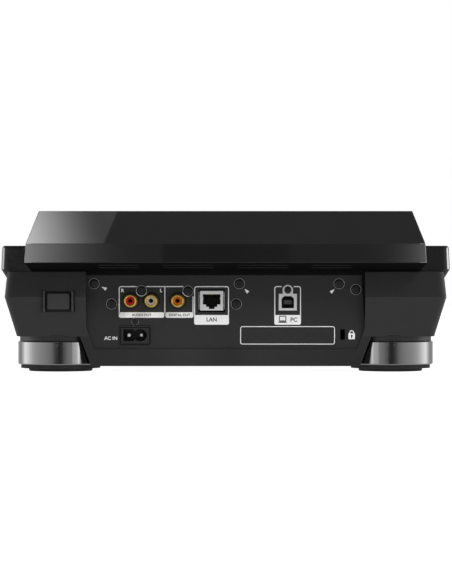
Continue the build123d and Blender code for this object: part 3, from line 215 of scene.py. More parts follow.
# Finishes
def moulded(name, dark, pale, dull, grain=0.35 * mm, edge=0.4 * mm, wear_and_highlight=0.05, corners=None):
    """Moulded plastic, its edges polished and a little pale, part wear and part painted highlight; upright
    corners this far out and back carry a pale painted highlight.
    """
    shop = Finish(name)
    soft, rim = shop.edges(edge)
    mottle = shop.noise(size=22 * mm)
    grains = shop.cells(grain)
    body = shop.blend(mottle, grey(dark), grey(pale))
    # Edges painted paler: part wear, part painted highlight.
    body = shop.blend(rim * wear_and_highlight, body, grey(0.4))
    # Painted highlight: rounded upright corners near the rear ends are painted pale grey.
    if corners:
        outward, rearward = corners
        normal = shop.node("NewGeometry", {}, {}, "Normal")
        lean = abs(shop.part(normal, "X"))
        upright = abs(shop.part(normal, "Z")) < 0.35
        painted_highlight = lean.step(0.54, 0.66) * lean.step(0.90, 0.78) * upright
        painted_highlight = painted_highlight * (abs(shop.along("X")) > outward) * (shop.along("Y") > rearward)
        body = shop.blend(painted_highlight * 0.8, body, grey(0.85))
    shop.shade(Base_Color=body, Roughness=dull + 0.12 * (mottle - 0.5) - 0.1 * rim,
               Normal=shop.bump(grains, depth=0.012 * mm, normal=soft))


def gloss_black(name, level, edge, end=1.0, vents=None):
    """Polished black moulding. Its edges are a little pale, part wear and part painted highlight, and past
    its end they carry a bright painted highlight. Below, and on every other vent row, it turns matt and
    darker: the darker colour is painted shade.
    """
    shop = Finish(name)
    soft, rim = shop.edges(edge)
    haze = shop.noise(size=35 * mm, detail=3.0)
    wiping = shop.streaks(size=7 * mm, stretch=(0.12, 1.0, 1.0))
    # Edges painted a little paler: part wear, part painted highlight.
    body = shop.blend(rim * 0.15, grey(level), grey(0.09))
    # Painted highlight: edges past the end are painted pale grey.
    body = shop.blend(rim * 0.7 * (abs(shop.along("X")) > end), body, grey(0.6))
    skin = shop.surface(Base_Color=body, Roughness=0.015 + 0.03 * haze * wiping, Normal=soft,
                        Coat_Weight=0.4 + 0.3 * haze, Coat_Roughness=0.01)
    grain = shop.bump(shop.cells(size=0.5 * mm), depth=0.03 * mm)
    # A darker matt surface; its darker colour is painted shade under the hood and in the vents.
    shaded_matt = shop.surface(Base_Color=shop.blend(haze, grey(0.003), grey(0.006)), Roughness=0.8,
                          Specular_IOR_Level=0.05, Normal=grain)
    flat = shop.node("NewGeometry", {}, {}, "True Normal")
    matt_and_shaded = shop.part(flat, "Z") < -0.5
    # Painted shade: the walls of every other vent row take the darker matt surface.
    if vents:
        middle, pitch, top = vents
        wall = (shop.part(flat, "Y") > 0.9) * (shop.along("Z") < top)
        matt_and_shaded = matt_and_shaded + wall * (abs(abs(shop.along("Y") - middle) - pitch) < pitch / 4)
    shop.end(shop.node("MixShader", {}, {0: matt_and_shaded, 1: skin, 2: shaded_matt}))


def powder_paint(name, dark, pale, dull):
    """Baked paint on sheet steel: fine orange peel, with paler and darker specks."""
    shop = Finish(name)
    soft, rim = shop.edges(radius=0.25 * mm)
    peel = shop.noise(size=0.5 * mm, detail=4.0)
    specks = shop.noise(size=0.25 * mm, detail=1.0)
    body = shop.blend(specks.step(0.35, 0.7), grey(dark), grey(pale))
    body = shop.blend(rim * 0.12, body, grey(0.35))
    shop.shade(Base_Color=body, Roughness=dull + 0.15 * (peel - 0.5),
               Normal=shop.bump(peel, depth=0.02 * mm, normal=soft))


def turned_metal(name, dark, pale, dull, centres, line):
    """Bright metal with the fine lines that turning leaves round each centre."""
    shop = Finish(name)
    (middle_x, away_x), (middle_y, away_y) = centres
    across = abs(shop.along("X") - middle_x) - away_x
    along = abs(shop.along("Y") - middle_y) - away_y
    reach = (across * across + along * along) ** 0.5
    cut = {"W": (reach + shop.along("Z")) / line, "Scale": 1.0, "Detail": 2.0}
    lines = shop.node("TexNoise", {"noise_dimensions": "1D"}, cut)
    cloud = shop.noise(size=14 * mm)
    soft, rim = shop.edges(radius=0.35 * mm)
    body = shop.blend(cloud * 0.6 + lines * 0.4, dark, pale)
    shop.shade(Base_Color=body, Metallic=1.0, Roughness=dull + 0.08 * lines * cloud + 0.3 * rim,
               Normal=shop.bump(lines, depth=0.0015 * mm, normal=soft))


def plated(name, dark, pale, dull, stretch=(1.0, 1.0, 1.0), metal=1.0):
    """Plated or tinned sheet: drawn streaks and a little tarnish."""
    shop = Finish(name)
    soft, rim = shop.edges(radius=0.15 * mm)
    streaks = shop.streaks(size=0.6 * mm, stretch=stretch)
    tarnish = shop.noise(size=4 * mm, detail=3.0)
    body = shop.blend(tarnish * 0.7 + streaks * 0.3, dark, pale)
    shop.shade(Base_Color=body, Metallic=metal,
               Roughness=dull + 0.2 * (streaks - 0.5) + 0.1 * tarnish - 0.05 * rim,
               Normal=shop.bump(streaks, depth=0.004 * mm, normal=soft))


def socket_shell(node, dark, pale):
    """A socket: tinned steel outside and on its rim, black moulding within its mouth."""
    shop = Finish(node)
    rim_depth = 0.3 * mm
    soft = shop.edges(radius=0.12 * mm)[0]
    streaks = shop.streaks(size=0.6 * mm, stretch=(8.0, 1.0, 0.6))
    tarnish = shop.noise(size=4 * mm, detail=3.0)
    steel = shop.blend(tarnish * 0.7 + streaks * 0.3, grey(dark), grey(pale))
    within = shop.along("Y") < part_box(node)[1].y - rim_depth
    body = shop.blend(within, steel, grey(0.032))
    shop.shade(Base_Color=body, Metallic=0.5 * (1 - within),
               Roughness=0.42 + 0.2 * (streaks - 0.5) + 0.2 * within,
               Normal=shop.bump(streaks, depth=0.004 * mm, normal=soft))


def insert_colours():
    """Socket inserts: red for right, cream for left, orange for the digital one."""
    shop = Finish("insert_plastic")
    low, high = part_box("rca_inserts")
    share = (shop.along("X") - low.x) / (high.x - low.x)
    cloud = shop.noise(size=1.2 * mm)
    red = shop.blend(cloud, (0.38, 0.001, 0.006, 1), (0.52, 0.003, 0.012, 1))
    cream = shop.blend(cloud, (0.36, 0.34, 0.30, 1), (0.46, 0.43, 0.38, 1))
    orange = shop.blend(cloud, (0.40, 0.075, 0.0005, 1), (0.54, 0.115, 0.001, 1))
    body = shop.blend(share > 0.32, orange, cream)
    body = shop.blend(share > 0.68, body, red)
    soft = shop.edges(radius=0.2 * mm)[0]
    shop.shade(Base_Color=body, Roughness=0.45 + 0.1 * cloud, Specular_IOR_Level=0.25,
               Normal=shop.bump(cloud, depth=0.01 * mm, normal=soft))


def tongue_plastic():
    """Socket tongues: black in the rear socket, white in the one by the screen."""
    shop = Finish("white_plastic")
    cloud = shop.noise(size=0.8 * mm)
    white = shop.blend(cloud, grey(0.6), grey(0.72))
    black = shop.blend(cloud, grey(0.05), grey(0.08))
    body = shop.blend(shop.along("Y") > centre("port_tongues").y, white, black)
    shop.shade(Base_Color=body, Roughness=0.4 + 0.2 * cloud, Normal=shop.bump(cloud, depth=0.01 * mm))


def rubber():
    """Foot rubber: matt, with dust in a fine moulded texture."""
    shop = Finish("foot_rubber")
    dust = shop.noise(size=3 * mm, detail=4.0)
    pores = shop.cells(size=0.4 * mm)
    body = shop.blend(dust.step(0.45, 0.8), grey(0.02), grey(0.045))
    soft = shop.edges(radius=0.4 * mm)[0]
    shop.shade(Base_Color=body, Roughness=0.75 + 0.15 * dust,
               Normal=shop.bump(pores, depth=0.03 * mm, normal=soft))


def laminate():
    """Circuit board: green mask over copper runs, with tinned dots."""
    shop = Finish("board_laminate")
    runs = shop.node("TexBrick", {}, {"Vector": shop.place(), "Scale": 120.0, "Mortar Size": 0.06,
                                      "Color1": grey(0.0), "Color2": grey(0.2), "Mortar": grey(1.0)})
    dots = shop.cells(size=4 * mm).step(0.16, 0.12)
    cloud = shop.noise(size=8 * mm)
    green = shop.blend(cloud, (0.003, 0.014, 0.008, 1), (0.005, 0.022, 0.012, 1))
    body = shop.blend(shop.node("RGBToBW", {}, {0: runs}), green, (0.008, 0.034, 0.018, 1))
    body = shop.blend(dots, body, (0.2, 0.19, 0.17, 1))
    shop.shade(Base_Color=body, Metallic=dots * 0.9, Roughness=0.35 + 0.15 * cloud)


def smoked_glass():
    """Dark screen: black border, and a display area a shade bluer, with smears."""
    shop = Finish("screen_glass")
    border, fade = 8 * mm, 0.2 * mm
    within = []
    for axis, low, high in zip("XY", *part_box("screen_glass")):
        edge = (high - low) / 2 - border
        within.append(abs(shop.along(axis) - (low + high) / 2).step(edge, edge - fade))
    smear = shop.noise(size=30 * mm, detail=4.0)
    body = shop.blend(within[0] * within[1], grey(0.004), (0.010, 0.012, 0.016, 1))
    soft = shop.edges(radius=0.3 * mm)[0]
    shop.shade(Base_Color=body, Roughness=0.04 + 0.1 * smear.step(0.45, 0.8), Normal=soft)


def coated_rim():
    """The wheel's metallic coat: dark with fine flakes."""
    shop = Finish("jog_rim")
    flakes = shop.cells(size=0.3 * mm)
    cloud = shop.noise(size=25 * mm)
    soft, rim = shop.edges(radius=0.5 * mm)
    body = shop.blend(flakes.step(0.2, 0.9), grey(0.075), grey(0.035))
    body = shop.blend(rim * 0.2, body, grey(0.3))
    shop.shade(Base_Color=body, Metallic=0.35 + 0.3 * flakes, Roughness=0.3 + 0.12 * cloud, Normal=soft)


def ink(name, dark, pale, gloss=0.5):
    """Screen printing ink: slightly uneven cover."""
    shop = Finish(name)
    cover = shop.noise(size=0.5 * mm, detail=4.0)
    body = shop.blend(cover.step(0.3, 0.75), grey(dark), grey(pale))
    shop.shade(Base_Color=body, Roughness=0.55 + 0.2 * cover, Specular_IOR_Level=gloss,
               Normal=shop.bump(cover, depth=0.005 * mm))


def milky(name, dark, pale):
    """Diffusing plastic over a lamp, unlit."""
    shop = Finish(name)
    cloud = shop.noise(size=2 * mm, detail=3.0)
    soft, rim = shop.edges(radius=0.3 * mm)
    glow_reach = 2 * mm
    body = shop.blend(cloud * 0.6 + rim * 0.4, dark, pale)
    shop.shade(Base_Color=body, Roughness=0.32 + 0.15 * cloud, Normal=soft, Subsurface_Weight=0.2,
               Subsurface_Radius=(glow_reach, glow_reach, glow_reach))


def centre(node):
    """The middle of a node's box."""
    low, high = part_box(node)
    return (low + high) / 2


ring_radius = 29.6 * mm
ring_low, ring_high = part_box("foot_rings")
foot_centres = (
    (0, ring_high.x - ring_radius),
    ((ring_low.y + ring_high.y) / 2, (ring_high.y - ring_low.y) / 2 - ring_radius),
)
jog_y = centre("jog_plate").y
# The deck corners' painted highlight starts this far out and back.
highlight_out, highlight_back = 140 * mm, 130 * mm
# Past this reach the hood's edges carry a painted highlight.
hood_highlight_from = 130 * mm
# Vent rows: the walls of every other row are painted shade.
vents_middle, vents_pitch, vents_top = 176.95 * mm, 3.75 * mm, 76 * mm
moulded("case_plastic", 0.016, 0.022, 0.44, wear_and_highlight=0.12)
moulded("deck_plastic", 0.006, 0.010, 0.24, grain=0.28 * mm, edge=1.2 * mm, wear_and_highlight=0.16,
        corners=(highlight_out, highlight_back))
gloss_black("hood_gloss", 0.0105, edge=1.0 * mm, end=hood_highlight_from, vents=(vents_middle, vents_pitch, vents_top))
powder_paint("panel_black", 0.015, 0.026, 0.52)
powder_paint("plate_steel", 0.022, 0.036, 0.5)
smoked_glass()
moulded("black_plastic", 0.014, 0.022, 0.5)
tongue_plastic()
turned_metal("foot_chrome", grey(0.27), grey(0.33), 0.07, foot_centres, line=0.25 * mm)
rubber()
plated("screw_black", grey(0.045), grey(0.10), 0.3)
plated("gold_plate", (0.70, 0.46, 0.06, 1), (0.95, 0.72, 0.17, 1), 0.22, stretch=(1.0, 6.0, 1.0))
insert_colours()
plated("shield_steel", grey(0.50), grey(0.72), 0.32, stretch=(8.0, 1.0, 0.6))
laminate()
coated_rim()
turned_metal("jog_plate", grey(0.045), grey(0.09), 0.3, ((0, 0), (jog_y, 0)), line=0.6 * mm)
moulded("fader_plastic", 0.018, 0.026, 0.4)
moulded("knob_plastic", 0.014, 0.022, 0.42)
moulded("key_plastic", 0.035, 0.05, 0.45)
gloss_black("transport_key", 0.012, edge=0.6 * mm)
moulded("power_plastic", 0.032, 0.042, 0.42, edge=0.6 * mm)
ink("white_ink", 0.92, 0.97)
ink("dark_ink", 0.02, 0.05)
# Near-black paint for painted shade and painted shadow, and for the dark seam and slot fills.
ink("shade_paint", 0.004, 0.008, gloss=0.08)
plated("pin_metal", grey(0.9), grey(0.98), 0.4, metal=0.1)
plated("aged_gold", (0.20, 0.15, 0.045, 1), (0.34, 0.26, 0.09, 1), 0.35)
milky("play_lamp", (0.16, 0.30, 0.18, 1), (0.26, 0.44, 0.28, 1))
milky("cue_lamp", (0.42, 0.22, 0.06, 1), (0.55, 0.33, 0.12, 1))
socket_shells = {"lan_jack": (0.88, 0.98), "usb_b_jack": (0.80, 0.92)}
for node, (dark, pale) in socket_shells.items():
    socket_shell(node, dark, pale)
for row in frame["record"]["subparts"]:
    node = row["node"]
    finish = node if node in socket_shells else row["material_slot"]
    for slot in frame["nodes"][node].material_slots:
        slot.material = finishes[finish]


# Outlines, flat, in metres
def in_mm(*spots):
    """Points given in millimetres."""
    return [(x * mm, y * mm) for x, y in spots]


def arc(radius, first, last, parts):
    """Points along a round arc between two angles in degrees."""
    turns = [math.radians(first + (last - first) * part / parts) for part in range(parts + 1)]
    return [(radius * math.cos(turn), radius * math.sin(turn)) for turn in turns]


corner_parts = 5


def round_corners(path, radius, closed=True):
    """Swaps the corners of a path for arcs."""
    rounded = []
    for index, spot in enumerate(path):
        spot = Vector(spot)
        if not closed and index in (0, len(path) - 1):
            rounded.append(spot)
            continue
        before = (Vector(path[index - 1]) - spot).normalized() * radius
        after = (Vector(path[(index + 1) % len(path)]) - spot).normalized() * radius
        for part in range(corner_parts + 1):
            share = part / corner_parts
            rounded.append(spot + before * (1 - share) ** 2 + after * share ** 2)
    return rounded


def rectangle(left, right, low, high):
    return [(left, low), (right, low), (right, high), (left, high)]


def box_outline(left, right, low, high, corner):
    """A rectangle with round corners."""
    return round_corners(rectangle(left, right, low, high), corner)


def box_mm(*sizes):
    """The same, given in millimetres."""
    return box_outline(*[size * mm for size in sizes])


# Mesh makers: each adds to an open mesh, in a flat place of its own, as thin as print unless levels are given
def ring(work, place, outline, level):
    """Sets an outline's points at a level."""
    return [work.verts.new(place @ Vector((x, y, level))) for x, y in outline]


def join(work, rings):
    """Joins each ring of points to the next."""
    for lower, upper in zip(rings, rings[1:]):
        for index in range(len(lower)):
            corners = [lower[index - 1], lower[index], upper[index], upper[index - 1]]
            work.faces.new(list(dict.fromkeys(corners)))


def lathe(work, place, profile, turns=36):
    """Turns a profile of (radius, height) points about the place's z axis."""
    rings = []
    for radius, height in profile:
        if radius == 0:
            rings.append(ring(work, place, [(0, 0)], height) * turns)
        else:
            rings.append(ring(work, place, arc(radius, 0, 360, turns)[:turns], height))
    join(work, rings)


def stack(work, place, layers):
    """Joins outlines of as many points, each at its level, into one closed solid."""
    rings = [ring(work, place, outline, level) for outline, level in layers]
    join(work, rings)
    work.faces.new(rings[-1])
    work.faces.new(rings[0][::-1])


def slab(work, place, outline, low=0.0, high=print_lift):
    """Raises a flat outline to a thin prism."""
    stack(work, place, [(outline, low), (outline, high)])


def ribbon(work, place, path, width, low=0.0, high=print_lift, closed=False):
    """Draws a path as a flat line of even width."""
    sides = []
    last = len(path) - 1
    for index, spot in enumerate(path):
        before = path[index - 1] if closed or index else spot
        after = path[(index + 1) % len(path)] if closed or index < last else spot
        along = (Vector(after) - Vector(before)).normalized()
        across = Vector((-along.y, along.x)) * width / 2
        corners = []
        for side in (-1, 1):
            x, y = Vector(spot) + side * across
            corners += [work.verts.new(place @ Vector((x, y, height))) for height in (low, high)]
        sides.append(corners)
    onward = sides[1:] + sides[:1] if closed else sides[1:]
    for (a, b, c, d), (e, f, g, h) in zip(sides, onward):
        for corners in ((b, f, h, d), (a, c, g, e), (a, e, f, b), (c, d, h, g)):
            work.faces.new(corners)
    if not closed:
        for a, b, c, d in (sides[0], sides[-1]):
            work.faces.new([a, b, d, c])


def letters(work, place, text, height, bold=0.012):
    """Sets words in flat letters of that height, centred on the place."""
    capital_share = 0.72
    curve = bpy.data.curves.new("letters", "FONT")
    curve.body = text
    curve.size = height / capital_share
    curve.align_x = "CENTER"
    curve.align_y = "CENTER"
    curve.offset = bold * curve.size
    curve.extrude = print_lift / 2
    holder = bpy.data.objects.new("letters", curve)
    mesh = bpy.data.meshes.new_from_object(holder)
    mesh.transform(place @ Matrix.Translation((0, 0, print_lift / 2)))
    work.from_mesh(mesh)
    bpy.data.objects.remove(holder)
    bpy.data.curves.remove(curve)
    bpy.data.meshes.remove(mesh)


def cross_screw(work, place, radius, length, height=0.85 * mm, shank=1.4 * mm):
    """A domed screw head with a cross recess, on its shank."""
    crown = 0.8 * radius
    arm, half = 0.55 * radius, 0.15 * radius
    lathe(work, place, [(crown, height), (0.95 * radius, 0.8 * height), (radius, 0.5 * height), (radius, 0),
                        (shank, 0), (shank, -length), (0, -length)])
    cross = [(arm, -half), (arm, half), (half, half), (half, arm), (-half, arm), (-half, half)]
    cross += [(-x, -y) for x, y in cross]
    brim = ring(work, place, arc(crown, 0, 350, parts=35), height)
    mouth, floor = [ring(work, place, cross, level) for level in (height, 0.2 * height)]
    loops = []
    for loop in (brim, mouth):
        loops += [work.edges.new((loop[index - 1], loop[index])) for index in range(len(loop))]
    bmesh.ops.triangle_fill(work, edges=loops, use_beauty=True)
    join(work, [mouth, floor])
    work.faces.new(floor)


def piece(name, work, body, slot, finish=None):
    """Closes a mesh into a piece that rides on a body, in its slot's finish or one of its own."""
    bmesh.ops.remove_doubles(work, verts=work.verts, dist=0.001 * mm)
    bmesh.ops.recalc_face_normals(work, faces=work.faces)
    mesh = bpy.data.meshes.new(name)
    work.to_mesh(mesh)
    work.free()
    mesh.shade_smooth()
    mesh.set_sharp_from_angle(angle=math.radians(32))
    mesh.materials.append(finishes[finish or slot])
    made = bpy.data.objects.new(name, mesh)
    scene.collection.objects.link(made)
    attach(made, body)
    return made


# Socket panel: places across it run to the photo's right, heights run up
rear = Matrix(((-1, 0, 0, 0), (0, 0, 1, 0), (0, 1, 0, 0), (0, 0, 0, 1)))
panel_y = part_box("jack_panel")[1].y
panel = Matrix.Translation((0, panel_y, 0)) @ rear
panel_half = 94.9 * mm
panel_foot = 15.5 * mm
panel_rise = 52.7 * mm


def on_panel(across, up, lift=0.0):
    return panel @ Matrix.Translation((across, up, lift))


def at_shares(across, up):
    """A place at shares of the panel's half width and of its height."""
    return on_panel(across * panel_half, panel_foot + up * panel_rise)


def on_rear(x, y, z):
    """A place that faces the rear, at a point of the frame."""
    return Matrix.Translation((x, y, z)) @ rear


label_line = 0.6 * mm
label_corner = 1.6 * mm
open_lines = [
    in_mm((-60.5, 58.2), (-72.5, 58.2), (-72.5, 39.5)),
    in_mm((-54.0, 58.2), (-28.8, 58.2)),
    in_mm((-41.4, 58.2), (-41.4, 40.0)),
    in_mm((-22.2, 51.4), (-22.2, 39.5)),
    in_mm((-21.1, 38.0), (-21.1, 58.15), (2.0, 58.15), (2.0, 38.0)),
    in_mm((38.3, 58.2), (33.55, 58.2), (33.55, 38.0)),
    in_mm((46.5, 58.2), (51.1, 58.2), (51.1, 38.0)),
]
label_bars = [
    box_mm(-72.8, -41.8, 36.95, 40.7, 1.4), box_mm(-41.0, -21.9, 36.95, 40.7, 1.4),
    box_mm(-21.4, 2.3, 32.2, 38.8, 1.4), box_mm(33.25, 51.4, 32.2, 38.8, 1.4),
]
plate = box_mm(10.3, 74.3, 19.0, 30.9, 1.4)
plate_line = 0.5 * mm
arrow = in_mm((0.4, 0), (-3.3, 1.15), (-3.3, -1.15))
arrow_places = [(-84.3, 57.9, 153), (13.0, 56.5, 136), (74.2, 56.3, 41)]
panel_words = [
    ("R", -70.3, 55.4, 2.25, 0.045), ("L", -44.0, 55.4, 2.25, 0.045), ("AC IN", -78.2, 22.9, 2.4, 0.012),
]
label_words = [
    ("AUDIO OUT", -57.3, 38.8, 1.7), ("DIGITAL OUT", -31.4, 38.8, 1.7),
    ("LAN", -9.5, 35.6, 2.7), ("PC", 46.6, 35.5, 2.9),
]
lock_spot = (86.0 * mm, 24.3 * mm)
lock_body = box_mm(-2.2, 2.2, -2.0, 2.0, 0.3)
shackle = in_mm((-1.3, 2.0), *[(1.3 * x, 2.4 + 1.4 * y) for x, y in arc(1, 180, 0, parts=10)], (1.3, 2.0))
shackle_line = 0.7 * mm

work = bmesh.new()
for path in open_lines:
    ribbon(work, panel, round_corners(path, label_corner, closed=False), label_line)
for outline in label_bars:
    slab(work, panel, outline)
ribbon(work, panel, plate, plate_line, closed=True)
for across, up, angle in arrow_places:
    slab(work, on_panel(across * mm, up * mm) @ Matrix.Rotation(math.radians(angle), 4, "Z"), arrow)
for text, across, up, height, bold in panel_words:
    letters(work, on_panel(across * mm, up * mm), text, height * mm, bold)
slab(work, on_panel(*lock_spot), lock_body)
ribbon(work, on_panel(*lock_spot), shackle, shackle_line)
piece("panel_print", work, "chassis", "white_plastic", "white_ink")

work = bmesh.new()
for text, across, up, height in label_words:
    letters(work, on_panel(across * mm, up * mm, print_lift), text, height * mm, bold=0.02)
computer = on_panel(38.9 * mm, 36.2 * mm, print_lift)
computer_line = 0.6 * mm
ribbon(work, computer, box_mm(-2.2, 2.2, -1.4, 1.8, 0.4), computer_line, closed=True)
slab(work, computer, in_mm((-2.5, -1.8), (2.5, -1.8), (3.1, -2.7), (-3.1, -2.7)))
keyhole = on_panel(*lock_spot, print_lift)
keyhole_radius, keyhole_up = 0.6 * mm, 0.4 * mm
lathe(work, keyhole @ Matrix.Translation((0, keyhole_up, 0)),
      [(0, print_lift), (keyhole_radius, print_lift), (keyhole_radius, 0), (0, 0)], turns=20)
slab(work, keyhole, in_mm((-0.45, -1.2), (0.45, -1.2), (0.25, 0.1), (-0.25, 0.1)))
piece("label_letters", work, "chassis", "black_plastic", "dark_ink")


# Dark fills on the panel: painted shadow round the inlet and the phono sockets, along the panel's top and one
# side edge and under the deck's lip; a dark seam round the network socket; dark fill in the lock slot's
# corners
def rear_outline(node, away, corner, drop=0.0):
    """A rear node's box, grown by some distance, with its top edge lowered."""
    low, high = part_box(node)
    return box_outline(-high.x - away, away - low.x, low.z - away, high.z + away - drop, corner)


seams_and_shadows = bmesh.new()
inlet_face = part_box("ac_inlet")[1].y - panel_y
inlet_shadow_line = 0.55 * mm
# Painted shadow: a dark line round the inlet's flange.
inlet_shadow = rear_outline("ac_inlet", away=-1.65 * mm, corner=0.5 * mm, drop=0.8 * mm)
ribbon(seams_and_shadows, panel, inlet_shadow, inlet_shadow_line, inlet_face, inlet_face + print_lift, closed=True)
lan_gap = 1.2 * mm
lan_gap_level = -1.48 * mm
lan_seam = rear_outline("lan_jack", away=lan_gap / 2, corner=0.3 * mm)
ribbon(seams_and_shadows, panel, lan_seam, lan_gap, lan_gap_level, lan_gap_level + print_lift, closed=True)

# Painted shadow under the hood: a dark strip along the panel's top, tucked up behind it.
panel_top = panel_foot + panel_rise
panel_tuck = 4.0 * mm
shade_low = panel_top - 2.25 * mm
slab(seams_and_shadows, panel, rectangle(-panel_half, panel_half, shade_low, panel_top + panel_tuck))
# Painted shadow: a dark wedge down one side edge of the panel, wide at the top and thin lower down.
side_shadow_foot = 36 * mm
side_shadow_thin, side_shadow_wide = 0.4 * mm, 2.2 * mm
slab(seams_and_shadows, panel, [(panel_half - side_shadow_thin, side_shadow_foot), (panel_half, side_shadow_foot), (panel_half, shade_low),
                    (panel_half - side_shadow_wide, shade_low)])
# Painted shade: a dark strip over the lower edge of the deck's rear face, under the hood.
deck_lip_out = 4.0 * mm
deck_lip_rise = 0.3 * mm
slab(seams_and_shadows, panel, rectangle(-panel_half, panel_half, panel_top, panel_top + deck_lip_rise),
     deck_lip_out, deck_lip_out + print_lift)

slot_share = (0.841, 0.190)
slot_half, slot_reach = 1.65 * mm, 3.55 * mm
for side in (-1, 1):
    for end in (-1, 1):
        filled = [(side * slot_half, end * slot_reach)]
        filled += [(side * x, end * (slot_reach - slot_half + y)) for x, y in arc(slot_half, 0, 90, parts=6)]
        slab(seams_and_shadows, at_shares(*slot_share), filled)

phono_low, phono_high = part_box("rca_barrels")
phono_up = centre("rca_barrels").z
phono_radius = (phono_high.z - phono_low.z) / 2
phono_pitch = 14.05 * mm
phono_first = phono_high.x - phono_radius
phono_places = (phono_low.x + phono_radius, phono_first, phono_first - phono_pitch)
# Painted shadow: a dark ring round each phono socket.
phono_shadow_inner, phono_shadow_outer = 4.6 * mm, 5.65 * mm
phono_shadow = [(phono_shadow_inner, 0), (phono_shadow_inner, print_lift), (phono_shadow_outer, print_lift), (phono_shadow_outer, 0)]
for x in phono_places:
    lathe(seams_and_shadows, on_panel(-x, phono_up), phono_shadow, turns=64)

# Caps on the two ribs that guard the power key, paler as a painted highlight, and painted shadows beside them
key = centre("power_button")
key_place = on_rear(key.x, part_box("lower_case")[1].y, key.z)
rib_away = 9.55 * mm
rib_half, rib_reach = 0.6 * mm, 7.1 * mm
rib_levels = in_mm((0, 0), (0, 0.12), (0.12, 0.3), (0.38, 0.4))
rib_shadow_near, rib_shadow_far, rib_shadow_reach = 10.4 * mm, 11.0 * mm, 7.4 * mm
rib_shadow_deep, rib_shadow_out = -4.6 * mm, -1.7 * mm
caps = bmesh.new()
for side in (-1, 1):
    left, right = sorted((side * rib_shadow_near, side * rib_shadow_far))
    # Painted shadow: a dark strip outside each rib.
    rib_shadow = box_outline(left, right, -rib_shadow_reach, rib_shadow_reach, corner=0.2 * mm)
    slab(seams_and_shadows, key_place, rib_shadow, rib_shadow_deep, rib_shadow_out)
    layers = []
    for inset, level in rib_levels:
        half, reach = rib_half - inset, rib_reach - inset
        layers.append((box_outline(-half, half, -reach, reach, corner=0.9 * half), level))
    stack(caps, key_place @ Matrix.Translation((side * rib_away, 0, 0)), layers)
# Painted highlight: the caps take the power key's paler plastic, lighter than the case round them.
piece("guard_rib_caps", caps, "chassis", "power_plastic")
piece("panel_seams_and_shadows", seams_and_shadows, "chassis", "black_plastic", "shade_paint")

# Screws: eight sunk in the panel, one on the inlet, one on the lug, six under the plate
sunk_screw_shares = [(-0.945, 0.848), (-0.819, 0.586), (-0.604, 0.757), (-0.270, 0.753),
                     (0.099, 0.848), (0.077, 0.586), (0.816, 0.848), (0.936, 0.772)]
inlet_screw_share = 0.357
lug_screw_share = 0.765
head_radius, small_head_radius = 2.75 * mm, 2.45 * mm
sunk_length, seated_length = 0.4 * mm, 1.3 * mm
pocket_depth = 1.0 * mm
pocket_rim = in_mm((3.38, -0.25), (3.38, 0.05), (3.52, 0.09), (3.66, 0.05), (3.66, 0))
# Painted shade: a dark lining over the floor and wall of each screw pocket.
pocket_shade = in_mm((3.39, -0.25), (3.36, -0.3), (3.34, -0.96), (1.5, -0.96))
seat_rim = in_mm((2.42, 0.3), (2.46, 0.45), (2.58, 0.4), (2.6, 0))
screw_turn = 0.7
work = bmesh.new()
rims = bmesh.new()
pocket_shades = bmesh.new()
for index, (across, up) in enumerate(sunk_screw_shares):
    place = at_shares(across, up)
    turned = place @ Matrix.Rotation(screw_turn * index, 4, "Z")
    cross_screw(work, turned @ Matrix.Translation((0, 0, -pocket_depth)), head_radius, sunk_length)
    lathe(rims, place, pocket_rim, turns=48)
    lathe(pocket_shades, place, pocket_shade, turns=48)
# Painted reflection: bright arcs under two screws by the phono sockets, in near-white pin metal.
screw_glints = bmesh.new()
glint_radius, glint_line = 3.62 * mm, 0.5 * mm
for index, first, last in ((2, 200, 340), (3, 190, 275)):
    bow = arc(glint_radius, first, last, parts=16)
    ribbon(screw_glints, at_shares(*sunk_screw_shares[index]), bow, glint_line, high=3 * print_lift)
piece("phono_screw_glints", screw_glints, "chassis", "shield_steel", "pin_metal")
for node, share, seat in (("ac_inlet", inlet_screw_share, 0.0), ("usb_b_jack", lug_screw_share, 0.6 * mm)):
    place = on_panel(-centre(node).x, panel_foot + share * panel_rise, seat)
    cross_screw(work, place, small_head_radius, seated_length + seat)
    lathe(rims, place, seat_rim, turns=48)
plate_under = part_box("bottom_plate")[0].z
plate_screw_half = 88.6 * mm
plate_screw_run = 83.0 * mm
for side in (-1, 1):
    for step in (-1, 0, 1):
        along = centre("bottom_plate").y + step * plate_screw_run
        under = Matrix.Translation((side * plate_screw_half, along, plate_under))
        cross_screw(work, under @ Matrix.Rotation(math.pi, 4, "X"), head_radius, seated_length)
screws = piece("case_screws_cross", work, "chassis", "screw_black")
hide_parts("case_screws")
piece("screw_pocket_rims", rims, "chassis", "shield_steel")
piece("screw_pocket_shades", pocket_shades, "chassis", "black_plastic", "shade_paint")

# Sockets: network contacts, springs and stops, mains pins, phono sleeves
lan = centre("lan_jack")
lan_low, lan_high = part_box("lan_jack")
lan_roof = lan_high.z - 2.2 * mm
# A flat place whose x runs into the player and whose y runs up
inward = Matrix(((0, 0, -1, 0), (-1, 0, 0, 0), (0, 1, 0, 0), (0, 0, 0, 1)))
contact = in_mm((2.2, -0.3), (3.2, -0.4), (9.0, -3.0), (11.5, -3.3))
contacts, contact_pitch = 8, 1.02 * mm
contact_thick, contact_half = 0.3 * mm, 0.22 * mm
work = bmesh.new()
for index in range(contacts):
    across = (index - (contacts - 1) / 2) * contact_pitch
    start = Matrix.Translation((lan.x + across, lan_high.y, lan_roof))
    ribbon(work, start @ inward, contact, contact_thick, -contact_half, contact_half)
piece("lan_contacts", work, "chassis", "gold_plate")

